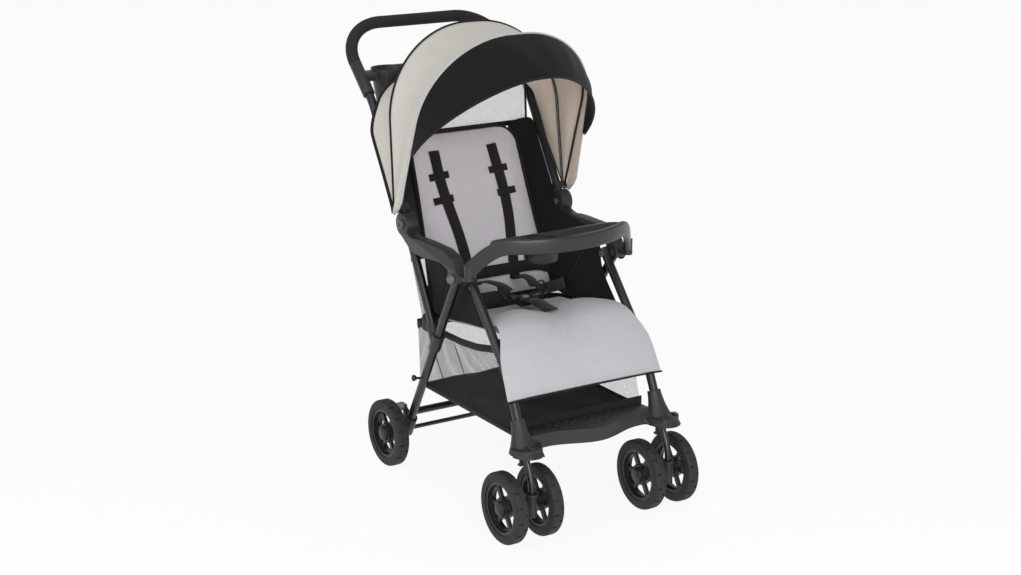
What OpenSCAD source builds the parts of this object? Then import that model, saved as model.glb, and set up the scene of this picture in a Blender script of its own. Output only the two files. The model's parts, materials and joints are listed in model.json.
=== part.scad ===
// Lightweight folding stroller: one push handle, twin front casters, child tray and parent tray.
// Millimetres. The child faces -Y, +Z is up, left (+X) and right (-X) are the child's own sides.

/* [Wheels] */
// Diameter of every wheel over its tread
wheel_d = 152; // [140:1:170]
// Width of a front tyre
front_tyre_w = 26; // [22:1:30]
// Width of a rear tyre
rear_tyre_w = 28; // [22:1:32]
// Diameter of the rim that carries the tyre
rim_d = 114; // [104:1:122]
// Number of spokes in a rim
spokes = 6; // [4:1:8]
// Number of tread cuts around a tyre
tread_cuts = 30; // [20:1:40]
// Depth of the tread cuts
tread_depth = 2.5; // [1:0.5:4]
// Diameter of the front axles
front_axle_d = 8; // [6:0.5:10]
// Diameter of the rear axle
rear_axle_d = 10; // [8:0.5:12]

/* [Casters] */
// Half of the distance between the two swivel axes
caster_x = 172; // [164:1:178]
// Distance of the swivel axis from the origin, towards the front
swivel_y = 362; // [350:1:375]
// Distance of the wheel axle behind the swivel axis
trail = 35; // [28:1:42]
// Distance of each twin wheel from the swivel axis, sideways
twin_half = 42.5; // [38:0.5:46]
// Diameter of the steel swivel post
post_d = 13; // [11:0.5:15]
// Outer diameter of the swivel sleeve
sleeve_d = 23; // [20:0.5:26]

/* [Frame] */
// Outer diameter of the frame tubes
tube_d = 19; // [16:0.5:21]
// Wall of the frame tubes
tube_wall = 1.3; // [1:0.1:2]
// Half of the distance between the push tubes
frame_x = 200; // [196:1:204]
// Front pivot, where both legs meet, ahead of the origin
pivot_y = 122; // [115:1:128]
// Height of the front pivot
pivot_z = 511; // [505:1:518]
// Fold hinge behind the origin
hinge_y = 92; // [86:1:98]
// Height of the fold hinge
hinge_z = 582; // [576:1:590]
// Rear axle behind the origin
rear_axle_y = 183; // [175:1:192]
// Half of the distance between the rear legs at the axle
rear_foot_x = 166; // [160:1:172]
// Half of the distance between the rear wheels' middles
rear_wheel_x = 206; // [204:1:212]
// Height of the bracket that ties the push tube to the rear leg
bracket_z = 340; // [325:1:355]
// Height of the rear crossbar
crossbar_z = 136; // [128:1:150]
// Diameter of the pivot bolts
bolt_d = 8; // [6:0.5:9]

/* [Handle] */
// Height of the push bar
bar_z = 972; // [950:1:1000]
// Push bar behind the origin
bar_y = 392; // [380:1:400]
// Bend of the push tube, behind the origin
knee_y = 238; // [230:1:246]
// Height of that bend
knee_z = 824; // [815:1:832]
// Radius of the push bar's corners
bar_bend = 104; // [90:1:120]
// Outer diameter of the foam grip
grip_d = 27; // [24:0.5:32]
// Radius of a parent cup at its rim
cup_r = 40; // [36:1:43]
// Depth of a parent cup
cup_depth = 74; // [60:1:84]

/* [Front legs] */
// Bend of the front leg, ahead of the origin
knee_front_y = 268; // [260:1:276]
// Height of that bend
knee_front_z = 338; // [330:1:346]
// Height at which the leg tube ends in the footrest
leg_end_z = 230; // [224:1:240]
// Height of the footrest's tread
tread_z = 220; // [214:1:226]
// Height of the footrest's front face
footrest_h = 30; // [24:1:34]
// Reach of the footrest's bowed front, ahead of the origin
footrest_front = 372; // [365:1:380]

/* [Tray] */
// Height of the child tray's rim
tray_z = 599; // [592:1:606]
// Height of the child tray's front face
tray_h = 27; // [22:1:32]
// Reach of the child tray's bowed front, ahead of the origin
tray_front = 250; // [242:1:258]
// Radius of the child's cup well
well_r = 35; // [30:1:38]

/* [Seat] */
// Length of the seat back
back_len = 408; // [380:1:420]
// Angle of the seat back from level
back_angle = 69; // [64:1:74]
// Clearance between the seat's base and the front legs
seat_clear = 4.5; // [3:0.5:12]
// Thickness of the seat pad at its edge
pad_t = 16; // [10:1:22]
// Rise of the seat pad in its middle
pad_crown = 9; // [4:1:14]
// Height of the basket's floor
basket_z = 202; // [196:1:210]

/* [Canopy] */
// Diameter of a canopy bow
bow_d = 5; // [4:0.5:6]
// Height of the middle bow above the canopy pivot
mid_r = 379; // [365:1:390]
// Height of the front bow above the canopy pivot
front_r = 400; // [385:1:412]
// Angle of the middle bow from level, ahead
mid_angle = 96; // [92:1:99]
// Angle of the front bow from level, ahead
front_angle = 69; // [62:1:74]
// Thickness of the canopy cloth
cloth_t = 1.6; // [1:0.2:2.4]

/* [Hidden] */
$fn = 48;
fit = 0.05;
gap = 0.4;
seat_gap = 0.3;
axle_z = wheel_d / 2;
wheel_r = wheel_d / 2;
rim_r = rim_d / 2;
tube_r = tube_d / 2;
// Half width of the seat at its base
seat_half = caster_x - tube_r - seat_clear;
sides = [["left", 1], ["right", -1]];

function unit(v) = v / norm(v);
function mix(a, b, t) = a + (b - a) * t;
// Point on the line a-b at height z
function at_z(a, b, z) = mix(a, b, (z - a.z) / (b.z - a.z));
// Point on the line a-b at a distance from a
function from(a, b, d) = a + unit(b - a) * d;

// Frame points of one side, s is +1 or -1
function pivot(s) = [s * frame_x, -pivot_y, pivot_z];
function leg_top(s) = [s * caster_x, -pivot_y, pivot_z];
function leg_knee(s) = [s * caster_x, -knee_front_y, knee_front_z];
function post_bend(s) = [s * caster_x, -swivel_y, axle_z + post_bend_up];
function post_end(s) = [s * caster_x, -swivel_y, axle_z - 8];
function leg_end(s) = at_z(leg_knee(s), post_bend(s), leg_end_z);
function hinge(s) = [s * frame_x, hinge_y, hinge_z];
function knee(s) = [s * frame_x, knee_y, knee_z];
function bar(s) = [s * frame_x, bar_y, bar_z];
function foot(s) = [s * rear_foot_x, rear_axle_y - foot_lead, axle_z + foot_rise];
function tie(s) = at_z(pivot(s), foot(s), bracket_z);
function canopy_pin(s) = from(hinge(s), knee(s), canopy_rise);

post_bend_up = 58;
foot_lead = 17;
foot_rise = 4;
canopy_rise = 36;
tail = 12;
eye_len = 30;
join_t = 1.6;
join_rise = 0.2;
open_end = -2;

// Sets local x, y, z axes u, v, n at o
module place(o, u, v, n) {
    multmatrix([[u.x, v.x, n.x, o.x], [u.y, v.y, n.y, o.y], [u.z, v.z, n.z, o.z], [0, 0, 0, 1]])
        children();
}
// Turns z to run from a to b, with local x kept level
module along(a, b) {
    d = unit(b - a);
    u = abs(d.z) > 0.999 ? [1, 0, 0] : unit(cross([0, 0, 1], d));
    place(a, u, cross(d, u), d) children();
}
module rod(a, b, d) {
    along(a, b) cylinder(d = d, h = norm(b - a));
}
// A cylinder along X from x0 to x1 at y, z
module pin_x(x0, x1, y, z, d) {
    translate([min(x0, x1), y, z]) rotate([0, 90, 0]) cylinder(d = d, h = abs(x1 - x0));
}
function turn(p, i) = acos(unit(p[i] - p[i - 1]) * unit(p[i + 1] - p[i]));
function trim(p, i, bends) = i == 0 || i == len(p) - 1 ? 0 : bends[i] * tan(turn(p, i) / 2);
// A rod bent along points p, with a bend radius at each inner point and a thin collar over each join
module bent(p, bends, d) {
    for (i = [0 : len(p) - 2]) {
        a = from(p[i], p[i + 1], trim(p, i, bends));
        b = from(p[i + 1], p[i], trim(p, i + 1, bends));
        rod(a, b, d);
        if (i > 0) rod(from(a, b, -join_t / 2), from(a, b, join_t / 2), d + join_rise);
        if (i < len(p) - 2) rod(from(b, a, -join_t / 2), from(b, a, join_t / 2), d + join_rise);
    }
    for (i = [1 : len(p) - 2]) {
        a = unit(p[i] - p[i - 1]);
        n = unit(cross(a, p[i + 1] - p[i]));
        start = p[i] - a * trim(p, i, bends);
        centre = start + cross(n, a) * bends[i];
        place(centre, -cross(n, a), a, n)
            rotate_extrude(angle = turn(p, i)) translate([bends[i], 0]) circle(d = d);
    }
}
// A bent tube, left solid for a length lead0 at its start and lead1 at its end
module bent_tube(p, bends, d, wall, lead0, lead1) {
    last = len(p) - 1;
    inner = [for (i = [0 : last]) i == 0 ? from(p[0], p[1], lead0)
        : i == last ? from(p[last], p[last - 1], lead1) : p[i]];
    difference() {
        bent(p, bends, d);
        bent(inner, bends, d - 2 * wall);
    }
}

// A closed sheet between two grids of points, split into triangles
module slab(top, bottom) {
    rows = len(top);
    cols = len(top[0]);
    count = rows * cols;
    up = cross(top[1][0] - top[0][0], top[0][1] - top[0][0]) * (top[0][0] - bottom[0][0]) > 0;
    function id(i, j, k) = i * cols + j + k * count;
    function tri(f) = up ? [f[0], f[2], f[1]] : f;
    function quad(a, b, c, d) = [tri([a, b, c]), tri([a, c, d])];
    faces = [
        for (i = [0 : rows - 2], j = [0 : cols - 2], f = concat(
            quad(id(i, j, 0), id(i + 1, j, 0), id(i + 1, j + 1, 0), id(i, j + 1, 0)),
            quad(id(i, j, 1), id(i, j + 1, 1), id(i + 1, j + 1, 1), id(i + 1, j, 1)))) f,
        for (i = [0 : rows - 2], f = concat(
            quad(id(i, 0, 0), id(i, 0, 1), id(i + 1, 0, 1), id(i + 1, 0, 0)),
            quad(id(i, cols - 1, 0), id(i + 1, cols - 1, 0), id(i + 1, cols - 1, 1), id(i, cols - 1, 1)))) f,
        for (j = [0 : cols - 2], f = concat(
            quad(id(0, j, 0), id(0, j + 1, 0), id(0, j + 1, 1), id(0, j, 1)),
            quad(id(rows - 1, j, 0), id(rows - 1, j, 1), id(rows - 1, j + 1, 1), id(rows - 1, j + 1, 0)))) f
    ];
    points = concat([for (r = top) for (q = r) q], [for (r = bottom) for (q = r) q]);
    polyhedron(points, faces);
}

// Wheels

shoulder = 6;
rim_flange = 7;
hub_r = 17;
web_t = 7;
window_in = hub_r + 6;
spoke_w = 11;
axle_head_t = 2.5;
axle_head_d = 16;

// Tyre about the X axis, with cuts that alternate from side to side
module tyre(w) {
    rotate([0, 90, 0]) difference() {
        rotate_extrude() {
            translate([rim_r, -w / 2]) square([wheel_r - rim_r - shoulder, w]);
            translate([wheel_r - shoulder - 1, -w / 2 + shoulder]) square([shoulder + 1, w - 2 * shoulder]);
            for (e = [-1, 1]) translate([wheel_r - shoulder, e * (w / 2 - shoulder)]) circle(shoulder);
        }
        pitch = 360 / tread_cuts;
        for (i = [0 : tread_cuts - 1])
            rotate(i * pitch) translate([wheel_r - tread_depth, -2, i % 2 == 0 ? 1.5 : -w / 2 - 1])
                cube([tread_depth + 1, 4, w / 2 - 0.5]);
    }
}
// Rim about the X axis, with a stepped hub, spokes and a bore for its axle
module rim(w, bore) {
    outer = rim_r - fit;
    window_out = outer - rim_flange - 3;
    rotate([0, 90, 0]) difference() {
        union() {
            rotate_extrude() translate([outer - rim_flange, -w / 2 + 2]) square([rim_flange, w - 4]);
            cylinder(r = outer - rim_flange + 1, h = web_t, center = true);
            cylinder(r = hub_r, h = w, center = true);
            cylinder(r = hub_r + 5, h = w - 8, center = true);
        }
        for (i = [0 : spokes - 1]) rotate(i * 360 / spokes) {
            half_in = window_in * tan(180 / spokes) - spoke_w / 2;
            half_out = window_out * tan(180 / spokes) - spoke_w / 2;
            translate([0, 0, -web_t]) linear_extrude(2 * web_t) intersection() {
                polygon([[window_in, -half_in], [window_in, half_in], [window_out, half_out],
                    [window_out, -half_out]]);
                circle(window_out - 1);
            }
        }
        cylinder(d = bore, h = w + 2, center = true);
    }
}
function front_wheel_at(s, k) = [s * caster_x + k * twin_half, -swivel_y + trail, axle_z];
function rear_wheel_at(s) = [s * rear_wheel_x, rear_axle_y, axle_z];
module front_tyre(s, k) {
    color([0.15, 0.15, 0.15]) translate(front_wheel_at(s, k)) tyre(front_tyre_w);
}
module front_rim(s, k) {
    color([0.2, 0.2, 0.2]) translate(front_wheel_at(s, k)) rim(front_tyre_w, front_axle_d + 2 * fit);
}
module rear_tyre(s) {
    color([0.15, 0.15, 0.15]) translate(rear_wheel_at(s)) tyre(rear_tyre_w);
}
module rear_rim(s) {
    color([0.2, 0.2, 0.2]) translate(rear_wheel_at(s)) rim(rear_tyre_w, rear_axle_d + 2 * fit);
}
// Front axle with a head outside each twin wheel
module front_axle(s) {
    reach = twin_half + front_tyre_w / 2 + gap;
    y = -swivel_y + trail;
    color("silver") {
        pin_x(s * caster_x - reach, s * caster_x + reach, y, axle_z, front_axle_d);
        for (e = [-1, 1])
            pin_x(s * caster_x + e * reach, s * caster_x + e * (reach + axle_head_t), y, axle_z, axle_head_d);
    }
}
module rear_axle() {
    reach = rear_wheel_x + rear_tyre_w / 2 + gap;
    color("silver") {
        pin_x(-reach, reach, rear_axle_y, axle_z, rear_axle_d);
        for (e = [-1, 1]) pin_x(e * reach, e * (reach + axle_head_t), rear_axle_y, axle_z, axle_head_d);
    }
}

// Casters

sleeve_up = 34;
sleeve_down = 16;
web_w = 14;

// Swivel sleeve with its trailing arm and axle boss
module caster_fork(s) {
    boss = 2 * (twin_half - front_tyre_w / 2 - gap);
    color([0.16, 0.16, 0.17]) translate([s * caster_x, -swivel_y, axle_z]) difference() {
        union() {
            translate([0, 0, -sleeve_down]) cylinder(d = sleeve_d, h = sleeve_down + sleeve_up);
            translate([0, 0, sleeve_up - 5]) cylinder(d = sleeve_d + 4, h = 5);
            translate([-web_w / 2, 0, -9]) cube([web_w, trail, 26]);
            pin_x(-boss / 2, boss / 2, trail, 0, front_axle_d + 14);
        }
        translate([0, 0, -10]) cylinder(d = post_d + 2 * fit, h = sleeve_up + 12);
        pin_x(-boss, boss, trail, 0, front_axle_d + 2 * fit);
    }
}
post_bend_r = 100;
// Steel post from the footrest into the swivel sleeve
module swivel_post(s) {
    color("dimgray")
        bent([leg_end(s), post_bend(s), post_end(s)], [0, post_bend_r, 0], post_d);
}
lock_w = 12;
lock_t = 4;
lock_drop = 20;
lock_len = 26;
lock_back = 13;
lock_pin_d = 4;
function lock_at(s) = at_z(leg_end(s), post_bend(s), tread_z - footrest_h - 6) + [0, lock_back, 0];
// Swivel lock lever behind the post, on its cross pin
module swivel_lock(s) {
    color([0.2, 0.2, 0.2]) translate(lock_at(s)) difference() {
        union() {
            pin_x(-lock_w / 2, lock_w / 2, 0, 0, lock_pin_d + 5);
            translate([-lock_w / 2, -lock_t / 2, -lock_len]) cube([lock_w, lock_t, lock_len]);
            translate([-lock_w / 2, -lock_t / 2, -lock_len]) cube([lock_w, lock_t + 6, lock_t]);
        }
        pin_x(-lock_w, lock_w, 0, 0, lock_pin_d + 2 * fit);
    }
}

// Front frame

front_leg_bend = 280;
module front_leg(s) {
    top = from(leg_top(s), leg_knee(s), -tail);
    color([0.12, 0.12, 0.12]) difference() {
        bent_tube([top, leg_knee(s), leg_end(s)], [0, front_leg_bend, 0], tube_d, tube_wall, eye_len, open_end);
        pin_x(s * (caster_x - tube_d), s * (caster_x + tube_d), -pivot_y, pivot_z, bolt_d + 2 * fit);
    }
}

cone_r = 36;
cone_top_r = 14;
cone_h = 62;
skirt_h = 15;
plate_half = 150;
plate_rear = 285;
plate_t = 3;
bow_drop = 42;
hole_d = 7;
hole_rows = 3;
hole_cols = 9;
hole_pitch = 22;
footrest_bottom = tread_z - footrest_h;
bow_radius = (plate_half * plate_half + bow_drop * bow_drop) / (2 * bow_drop);
function cone_foot(s) = at_z(leg_knee(s), post_bend(s), footrest_bottom);

module footrest_plan(inset) {
    intersection() {
        translate([0, -footrest_front + bow_radius]) circle(bow_radius - inset, $fn = 96);
        translate([-plate_half + inset, -footrest_front])
            square([2 * (plate_half - inset), footrest_front - plate_rear - inset]);
    }
}
// Moulded footrest: bowed tread plate with a lip, and a cone around each leg
module footrest() {
    color([0.2, 0.2, 0.21]) difference() {
        union() {
            translate([0, 0, footrest_bottom]) linear_extrude(footrest_h) footrest_plan(0);
            for (side = sides) {
                s = side[1];
                axis_top = at_z(leg_knee(s), post_bend(s), footrest_bottom + cone_h);
                intersection() {
                    along(from(cone_foot(s), axis_top, -cone_r), axis_top)
                        cylinder(r1 = cone_r * 1.32, r2 = cone_top_r, h = norm(axis_top - cone_foot(s)) + cone_r);
                    translate([s * caster_x - 60, -footrest_front - 40, footrest_bottom]) cube([120, 180, 2 * cone_h]);
                }
                translate([s * caster_x, cone_foot(s).y, footrest_bottom]) cylinder(r = cone_r + 1, h = skirt_h);
                for (e = [-1, 1])
                    translate([s * caster_x + e * (lock_w / 2 + 2.4) - 2, lock_at(s).y - 5, lock_at(s).z - 5])
                        cube([4, 10, footrest_bottom - lock_at(s).z + 6]);
                pin_x(lock_at(s).x - lock_w / 2 - 3, lock_at(s).x + lock_w / 2 + 3, lock_at(s).y, lock_at(s).z, lock_pin_d);
            }
        }
        translate([0, 0, footrest_bottom - 1]) linear_extrude(footrest_h - plate_t + 1) difference() {
            footrest_plan(plate_t);
            for (side = sides)
                translate([side[1] * caster_x, cone_foot(side[1]).y]) circle(r = cone_r + 2);
        }
        for (r = [0 : hole_rows - 1], c = [0 : hole_cols - 1])
            translate([(c - (hole_cols - 1) / 2 + (r % 2) / 2) * hole_pitch,
                -plate_rear - 16 - r * 17, tread_z - 10]) cylinder(d = hole_d, h = 20);
        for (side = sides) {
            s = side[1];
            rod(leg_end(s), leg_knee(s), tube_d + 2 * fit);
            rod(from(leg_end(s), post_bend(s), -5), post_bend(s), post_d + 2 * fit);
        }
    }
}
front_bar_d = 12;
front_bar_drop = 9;
// Bar under the front edge of the seat, let into both front legs
module seat_front_bar() {
    function end(s) = at_z(leg_top(s), leg_knee(s), base_front_z - front_bar_drop);
    color([0.12, 0.12, 0.12]) difference() {
        rod(end(1), end(-1), front_bar_d);
        for (side = sides) rod(leg_top(side[1]), leg_knee(side[1]), tube_d + 2 * fit);
    }
}

// Rear frame

module rear_leg(s) {
    top = from(pivot(s), foot(s), -tail);
    color([0.12, 0.12, 0.12]) difference() {
        rod(top, foot(s), tube_d);
        rod(from(top, foot(s), eye_len), from(foot(s), top, open_end), tube_d - 2 * tube_wall);
        pin_x(s * (frame_x - tube_d), s * (frame_x + tube_d), -pivot_y, pivot_z, bolt_d + 2 * fit);
    }
}
push_lead = 17;
// Distance from the leg at which a tube that meets it at an angle clears it
function tie_clear(s) = let (c = abs(unit(hinge(s) - tie(s)) * unit(pivot(s) - tie(s))))
    (tube_r * (1 + c) + 0.6) / sqrt(1 - c * c);
module lower_push_tube(s) {
    a = from(hinge(s), tie(s), push_lead);
    b = from(tie(s), hinge(s), tie_clear(s));
    color([0.12, 0.12, 0.12]) difference() {
        rod(a, b, tube_d);
        rod(from(a, b, open_end), from(b, a, open_end), tube_d - 2 * tube_wall);
    }
}
bracket_wall = 4;
bracket_half = 22;
// Moulded bracket: a collar on the rear leg and a socket for the push tube
module leg_bracket(s) {
    up = from(tie(s), pivot(s), bracket_half);
    down = from(tie(s), foot(s), bracket_half);
    color([0.16, 0.16, 0.17]) difference() {
        union() {
            rod(up, down, tube_d + 2 * bracket_wall);
            rod(tie(s), from(tie(s), hinge(s), tie_clear(s) + bracket_half), tube_d + 2 * bracket_wall);
        }
        rod(from(tie(s), pivot(s), 60), from(tie(s), foot(s), 60), tube_d + 2 * fit);
        rod(from(tie(s), hinge(s), tie_clear(s)), hinge(s), tube_d + 2 * fit);
    }
}

arm_wall = 3;
arm_clear = 0.6;
arm_in = frame_x - tube_r - arm_clear - arm_wall;
arm_out = frame_x + tube_r + arm_clear + arm_wall;
arm_h = 34;
arm_top = hinge_z - 15;
arm_back_r = 25;
arm_front_r = 20;
clip_y = pivot_y + 44;
clip_pin_d = 7;
knuckle_r = 10;
clip_low = pivot_z + 4;
clip_high = clip_low + 34;
ear_t = 7;

// Side outline of an armrest, grown inwards by inset, open below where inset is positive
module arm_outline(inset) {
    front = [-pivot_y, pivot_z + 2];
    back = [hinge_y, hinge_z];
    r = 60;
    translate(back) circle(arm_back_r - inset);
    translate(front) circle(arm_front_r - inset);
    difference() {
        polygon([[back.x + (arm_back_r - inset) * 0.8, back.y - (arm_back_r - inset) * 0.6],
            [back.x - 6, back.y + arm_back_r - inset - 1], [back.x - 30, arm_top + 14 - inset],
            [back.x - 62, arm_top - 4 - inset], [0, arm_top - 3 - inset], [-pivot_y + 40, arm_top - 4 - inset],
            [-pivot_y + 4, arm_top - 14 - inset], [front.x - arm_front_r + inset, front.y],
            [front.x, front.y - arm_front_r + inset], [front.x + 22, arm_top - arm_h - 6 + inset],
            [front.x + 52, arm_top - arm_h + 2 + inset], [10, arm_top - arm_h - 5 + inset],
            [back.x - 42, arm_top - arm_h - 3 + inset]]);
        translate([back.x - 46, arm_top + r - 10 - inset]) circle(r - 4);
    }
}
module side_plate(x0, x1) {
    translate([min(x0, x1), 0, 0]) rotate([90, 0, 90]) linear_extrude(abs(x1 - x0)) children();
}
// Moulded armrest: a channel over the leg and tube ends, with the fold hinge at its back
module armrest(s) {
    color([0.23, 0.22, 0.22]) difference() {
        union() {
            difference() {
                side_plate(s * arm_in, s * arm_out) arm_outline(0);
                side_plate(s * (arm_in + arm_wall), s * (arm_out - arm_wall)) {
                    arm_outline(arm_wall);
                    translate([-pivot_y - arm_front_r + 3.5, pivot_z - 40]) square([hinge_y + pivot_y + 16, 52]);
                    translate([hinge_y, hinge_z]) rotate(-60) translate([0, -tube_r - 1])
                        square([80, 2 * tube_r + 2]);
                    for (a = [-45 : 15 : 60])
                        translate([hinge_y, hinge_z]) rotate(a) translate([0, -tube_r - 1])
                            square([60, 2 * tube_r + 2]);
                }
            }
            translate([s * frame_x, -clip_y, clip_low]) cylinder(r = knuckle_r, h = ear_t);
            translate([s * frame_x - knuckle_r, -clip_y, clip_low])
                cube([2 * knuckle_r, clip_y - pivot_y - arm_front_r + 2, ear_t]);
            translate([s * frame_x, -clip_y, clip_low]) cylinder(d = clip_pin_d, h = clip_high - clip_low);
            pin_x(s * (caster_x + tube_r + gap), s * (arm_in + 1), -pivot_y, pivot_z, bolt_d + 9);
        }
        rod(hinge(s), tie(s), tube_d + 2 * arm_clear);
        rod(from(pivot(s), foot(s), -tail - 2), foot(s), tube_d + 2 * arm_clear);
        pin_x(s * caster_x, s * (arm_out + 1), -pivot_y, pivot_z, bolt_d + 2 * fit);
        pin_x(s * (arm_in - 1), s * (arm_out + 1), hinge_y, hinge_z, bolt_d + 2 * fit);
    }
}
cap_r = 10.5;
cap_sink = 2;
// Front pivot bolts with their ball caps
module pivot_bolts() {
    color("gray") for (side = sides) {
        s = side[1];
        pin_x(s * (caster_x - tube_r - 3), s * (arm_out + 2), -pivot_y, pivot_z, bolt_d);
        pin_x(s * (caster_x - tube_r - 3), s * (caster_x - tube_r - gap), -pivot_y, pivot_z, bolt_d + 6);
        translate([s * (arm_out + gap), -pivot_y, pivot_z]) rotate([0, s * 90, 0]) rotate_extrude() intersection() {
            translate([0, cap_sink]) circle(cap_r);
            square(2 * cap_r);
        }
    }
}
hinge_head_d = 20;
// Fold hinge bolts with recessed heads
module hinge_bolts() {
    color("gray") for (side = sides) {
        s = side[1];
        difference() {
            union() {
                pin_x(s * (arm_in - 1), s * (arm_out + gap), hinge_y, hinge_z, bolt_d);
                pin_x(s * (arm_in - 4), s * (arm_in - gap), hinge_y, hinge_z, bolt_d + 6);
                pin_x(s * (arm_out + gap), s * (arm_out + 6), hinge_y, hinge_z, hinge_head_d);
            }
            pin_x(s * (arm_out + 3), s * (arm_out + 8), hinge_y, hinge_z, hinge_head_d - 8);
        }
    }
}
crossbar_d = 16;
module rear_crossbar() {
    function end(s) = at_z(pivot(s), foot(s), crossbar_z);
    color([0.12, 0.12, 0.12]) difference() {
        rod(end(1), end(-1), crossbar_d);
        for (side = sides) rod(pivot(side[1]), foot(side[1]), tube_d + 2 * fit);
    }
}
housing_wall = 4;
housing_up = 46;
boss_d = 34;
pedal_pin_d = 6;
pedal_back = 14;
pedal_up = 46;
function pedal_at(s) = [s * rear_foot_x, rear_axle_y + pedal_back, axle_z + pedal_up];
// Moulded housing at the foot of a rear leg, with the axle bore and the pedal's ears
module wheel_housing(s) {
    inner = rear_foot_x - 14;
    outer = rear_wheel_x - rear_tyre_w / 2 - gap;
    p = pedal_at(s);
    color([0.18, 0.18, 0.18]) difference() {
        union() {
            rod(from(foot(s), pivot(s), housing_up), from(foot(s), pivot(s), -6), tube_d + 2 * housing_wall);
            pin_x(s * inner, s * outer, rear_axle_y, axle_z, boss_d);
            for (e = [-1, 1]) side_plate(p.x + e * 11 - 3, p.x + e * 11 + 3) {
                translate([p.y, p.z]) circle(pedal_pin_d);
                polygon([[rear_axle_y - 16, axle_z], [rear_axle_y + 12, axle_z], [p.y + pedal_pin_d - 1, p.z - 2],
                    [p.y - 2, p.z + pedal_pin_d - 1], [rear_axle_y - 24, axle_z + 30]]);
            }
            pin_x(p.x - 12, p.x + 12, p.y, p.z, pedal_pin_d);
        }
        rod(foot(s), pivot(s), tube_d + 2 * fit);
        pin_x(s * (inner - 20), s * (outer + 20), rear_axle_y, axle_z, rear_axle_d + 2 * fit);
    }
}
pedal_len = 30;
pedal_start = 8;
pedal_w = 44;
// Foot brake pedal with its hub between the ears
module brake_pedal(s) {
    p = pedal_at(s);
    color([0.5, 0.5, 0.48]) translate(p) difference() {
        union() {
            pin_x(-8 + gap, 8 - gap, 0, 0, pedal_pin_d + 6);
            translate([-8 + gap, 0, -3]) cube([16 - 2 * gap, pedal_start + 2, 6]);
            translate([-pedal_w / 2, pedal_start, -3]) cube([pedal_w, pedal_len - pedal_start, 6]);
            for (i = [0 : 2]) translate([-pedal_w / 2 + 4, pedal_start + 3 + i * 6, 2]) cube([pedal_w - 8, 3, 2.4]);
        }
        pin_x(-20, 20, 0, 0, pedal_pin_d + 2 * fit);
    }
}

// Handle

knee_bend = 100;
vent_d = 4;
module push_handle() {
    color([0.12, 0.12, 0.12]) difference() {
        union() {
            bent_tube([hinge(1), knee(1), bar(1), bar(-1), knee(-1), hinge(-1)],
                [0, knee_bend, bar_bend, bar_bend, knee_bend, 0], tube_d, tube_wall, eye_len / 2, eye_len / 2);
            for (side = sides)
                pin_x(side[1] * (frame_x - tube_r + 0.2), side[1] * (frame_x + tube_r - 0.2), hinge_y, hinge_z, tube_d);
        }
        translate([0, bar_y, bar_z - tube_d]) cylinder(d = vent_d, h = tube_d);
        for (side = sides)
            pin_x(side[1] * (frame_x - tube_d), side[1] * (frame_x + tube_d), hinge_y, hinge_z, bolt_d + 2 * fit);
    }
}
grip_start = norm(bar(1) - knee(1)) - bar_bend - 3;
module foam_grip() {
    color([0.14, 0.14, 0.14])
        bent_tube([from(knee(1), bar(1), grip_start), bar(1), bar(-1), from(knee(-1), bar(-1), grip_start)],
            [0, bar_bend, bar_bend, 0], grip_d, (grip_d - tube_d) / 2 - fit, open_end, open_end);
}
cup_x = 128;
cup_wall = 2.5;
cup_low_r = cup_r - 10;
clamp_from = 20;
clamp_wall = 4;
cup_z = at_z(knee(1), bar(1), knee_z + 62).z;
cup_y = at_z(knee(1), bar(1), knee_z + 50).y;
deck_h = 24;
deck_half = 34;
trigger_w = 62;
trigger_d = 20;
trigger_h = 12;
// Parent tray: two cups, a shallow deck between them and a clamp on each push tube
module parent_tray() {
    color([0.2, 0.2, 0.21]) difference() {
        union() {
            for (side = sides) {
                s = side[1];
                translate([s * cup_x, cup_y, cup_z - cup_depth])
                    cylinder(r1 = cup_low_r, r2 = cup_r + cup_wall, h = cup_depth);
                rod(from(knee(s), bar(s), clamp_from), from(knee(s), bar(s), grip_start - 1), tube_d + 2 * clamp_wall);
                translate([min(s * cup_x, s * frame_x), cup_y - 14, cup_z - deck_h])
                    cube([frame_x - cup_x, 28, deck_h - 4]);
            }
            translate([-cup_x, cup_y - deck_half, cup_z - deck_h]) cube([2 * cup_x, 2 * deck_half, deck_h]);
        }
        for (side = sides) {
            s = side[1];
            translate([s * cup_x, cup_y, cup_z - cup_depth + cup_wall])
                cylinder(r1 = cup_low_r - cup_wall, r2 = cup_r, h = cup_depth);
            rod(from(knee(s), bar(s), -30), from(bar(s), knee(s), -30), tube_d + 2 * fit);
        }
        translate([-cup_x + cup_r + 6, cup_y - deck_half + cup_wall, cup_z - deck_h + cup_wall])
            cube([2 * (cup_x - cup_r - 6), 2 * (deck_half - cup_wall), deck_h]);
        translate([-trigger_w / 2 - gap, cup_y - trigger_d / 2 - gap, cup_z - deck_h - 1])
            cube([trigger_w + 2 * gap, trigger_d + 2 * gap, cup_wall + 2]);
    }
}
// Fold trigger that is squeezed up into the deck of the parent tray
module fold_trigger() {
    color([0.45, 0.45, 0.45]) translate([0, cup_y, cup_z - deck_h]) {
        translate([-trigger_w / 2, -trigger_d / 2, -trigger_h + 4]) cube([trigger_w, trigger_d, trigger_h]);
        translate([-trigger_w / 2 - 3, -trigger_d / 2 - 3, cup_wall + gap])
            cube([trigger_w + 6, trigger_d + 6, 2]);
    }
}

// Canopy

clip_wall = 2.5;
clip_half = 7;
pin_d = 5;
eye_r = 6;
mid_eye_x = frame_x + tube_r + clip_wall + 1;
eye_t = 4;
front_eye_x = mid_eye_x + max(eye_t, bow_d) + 0.6;
mid_foot = mid_eye_x + eye_t / 2;
front_foot = front_eye_x + eye_t / 2;
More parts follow.
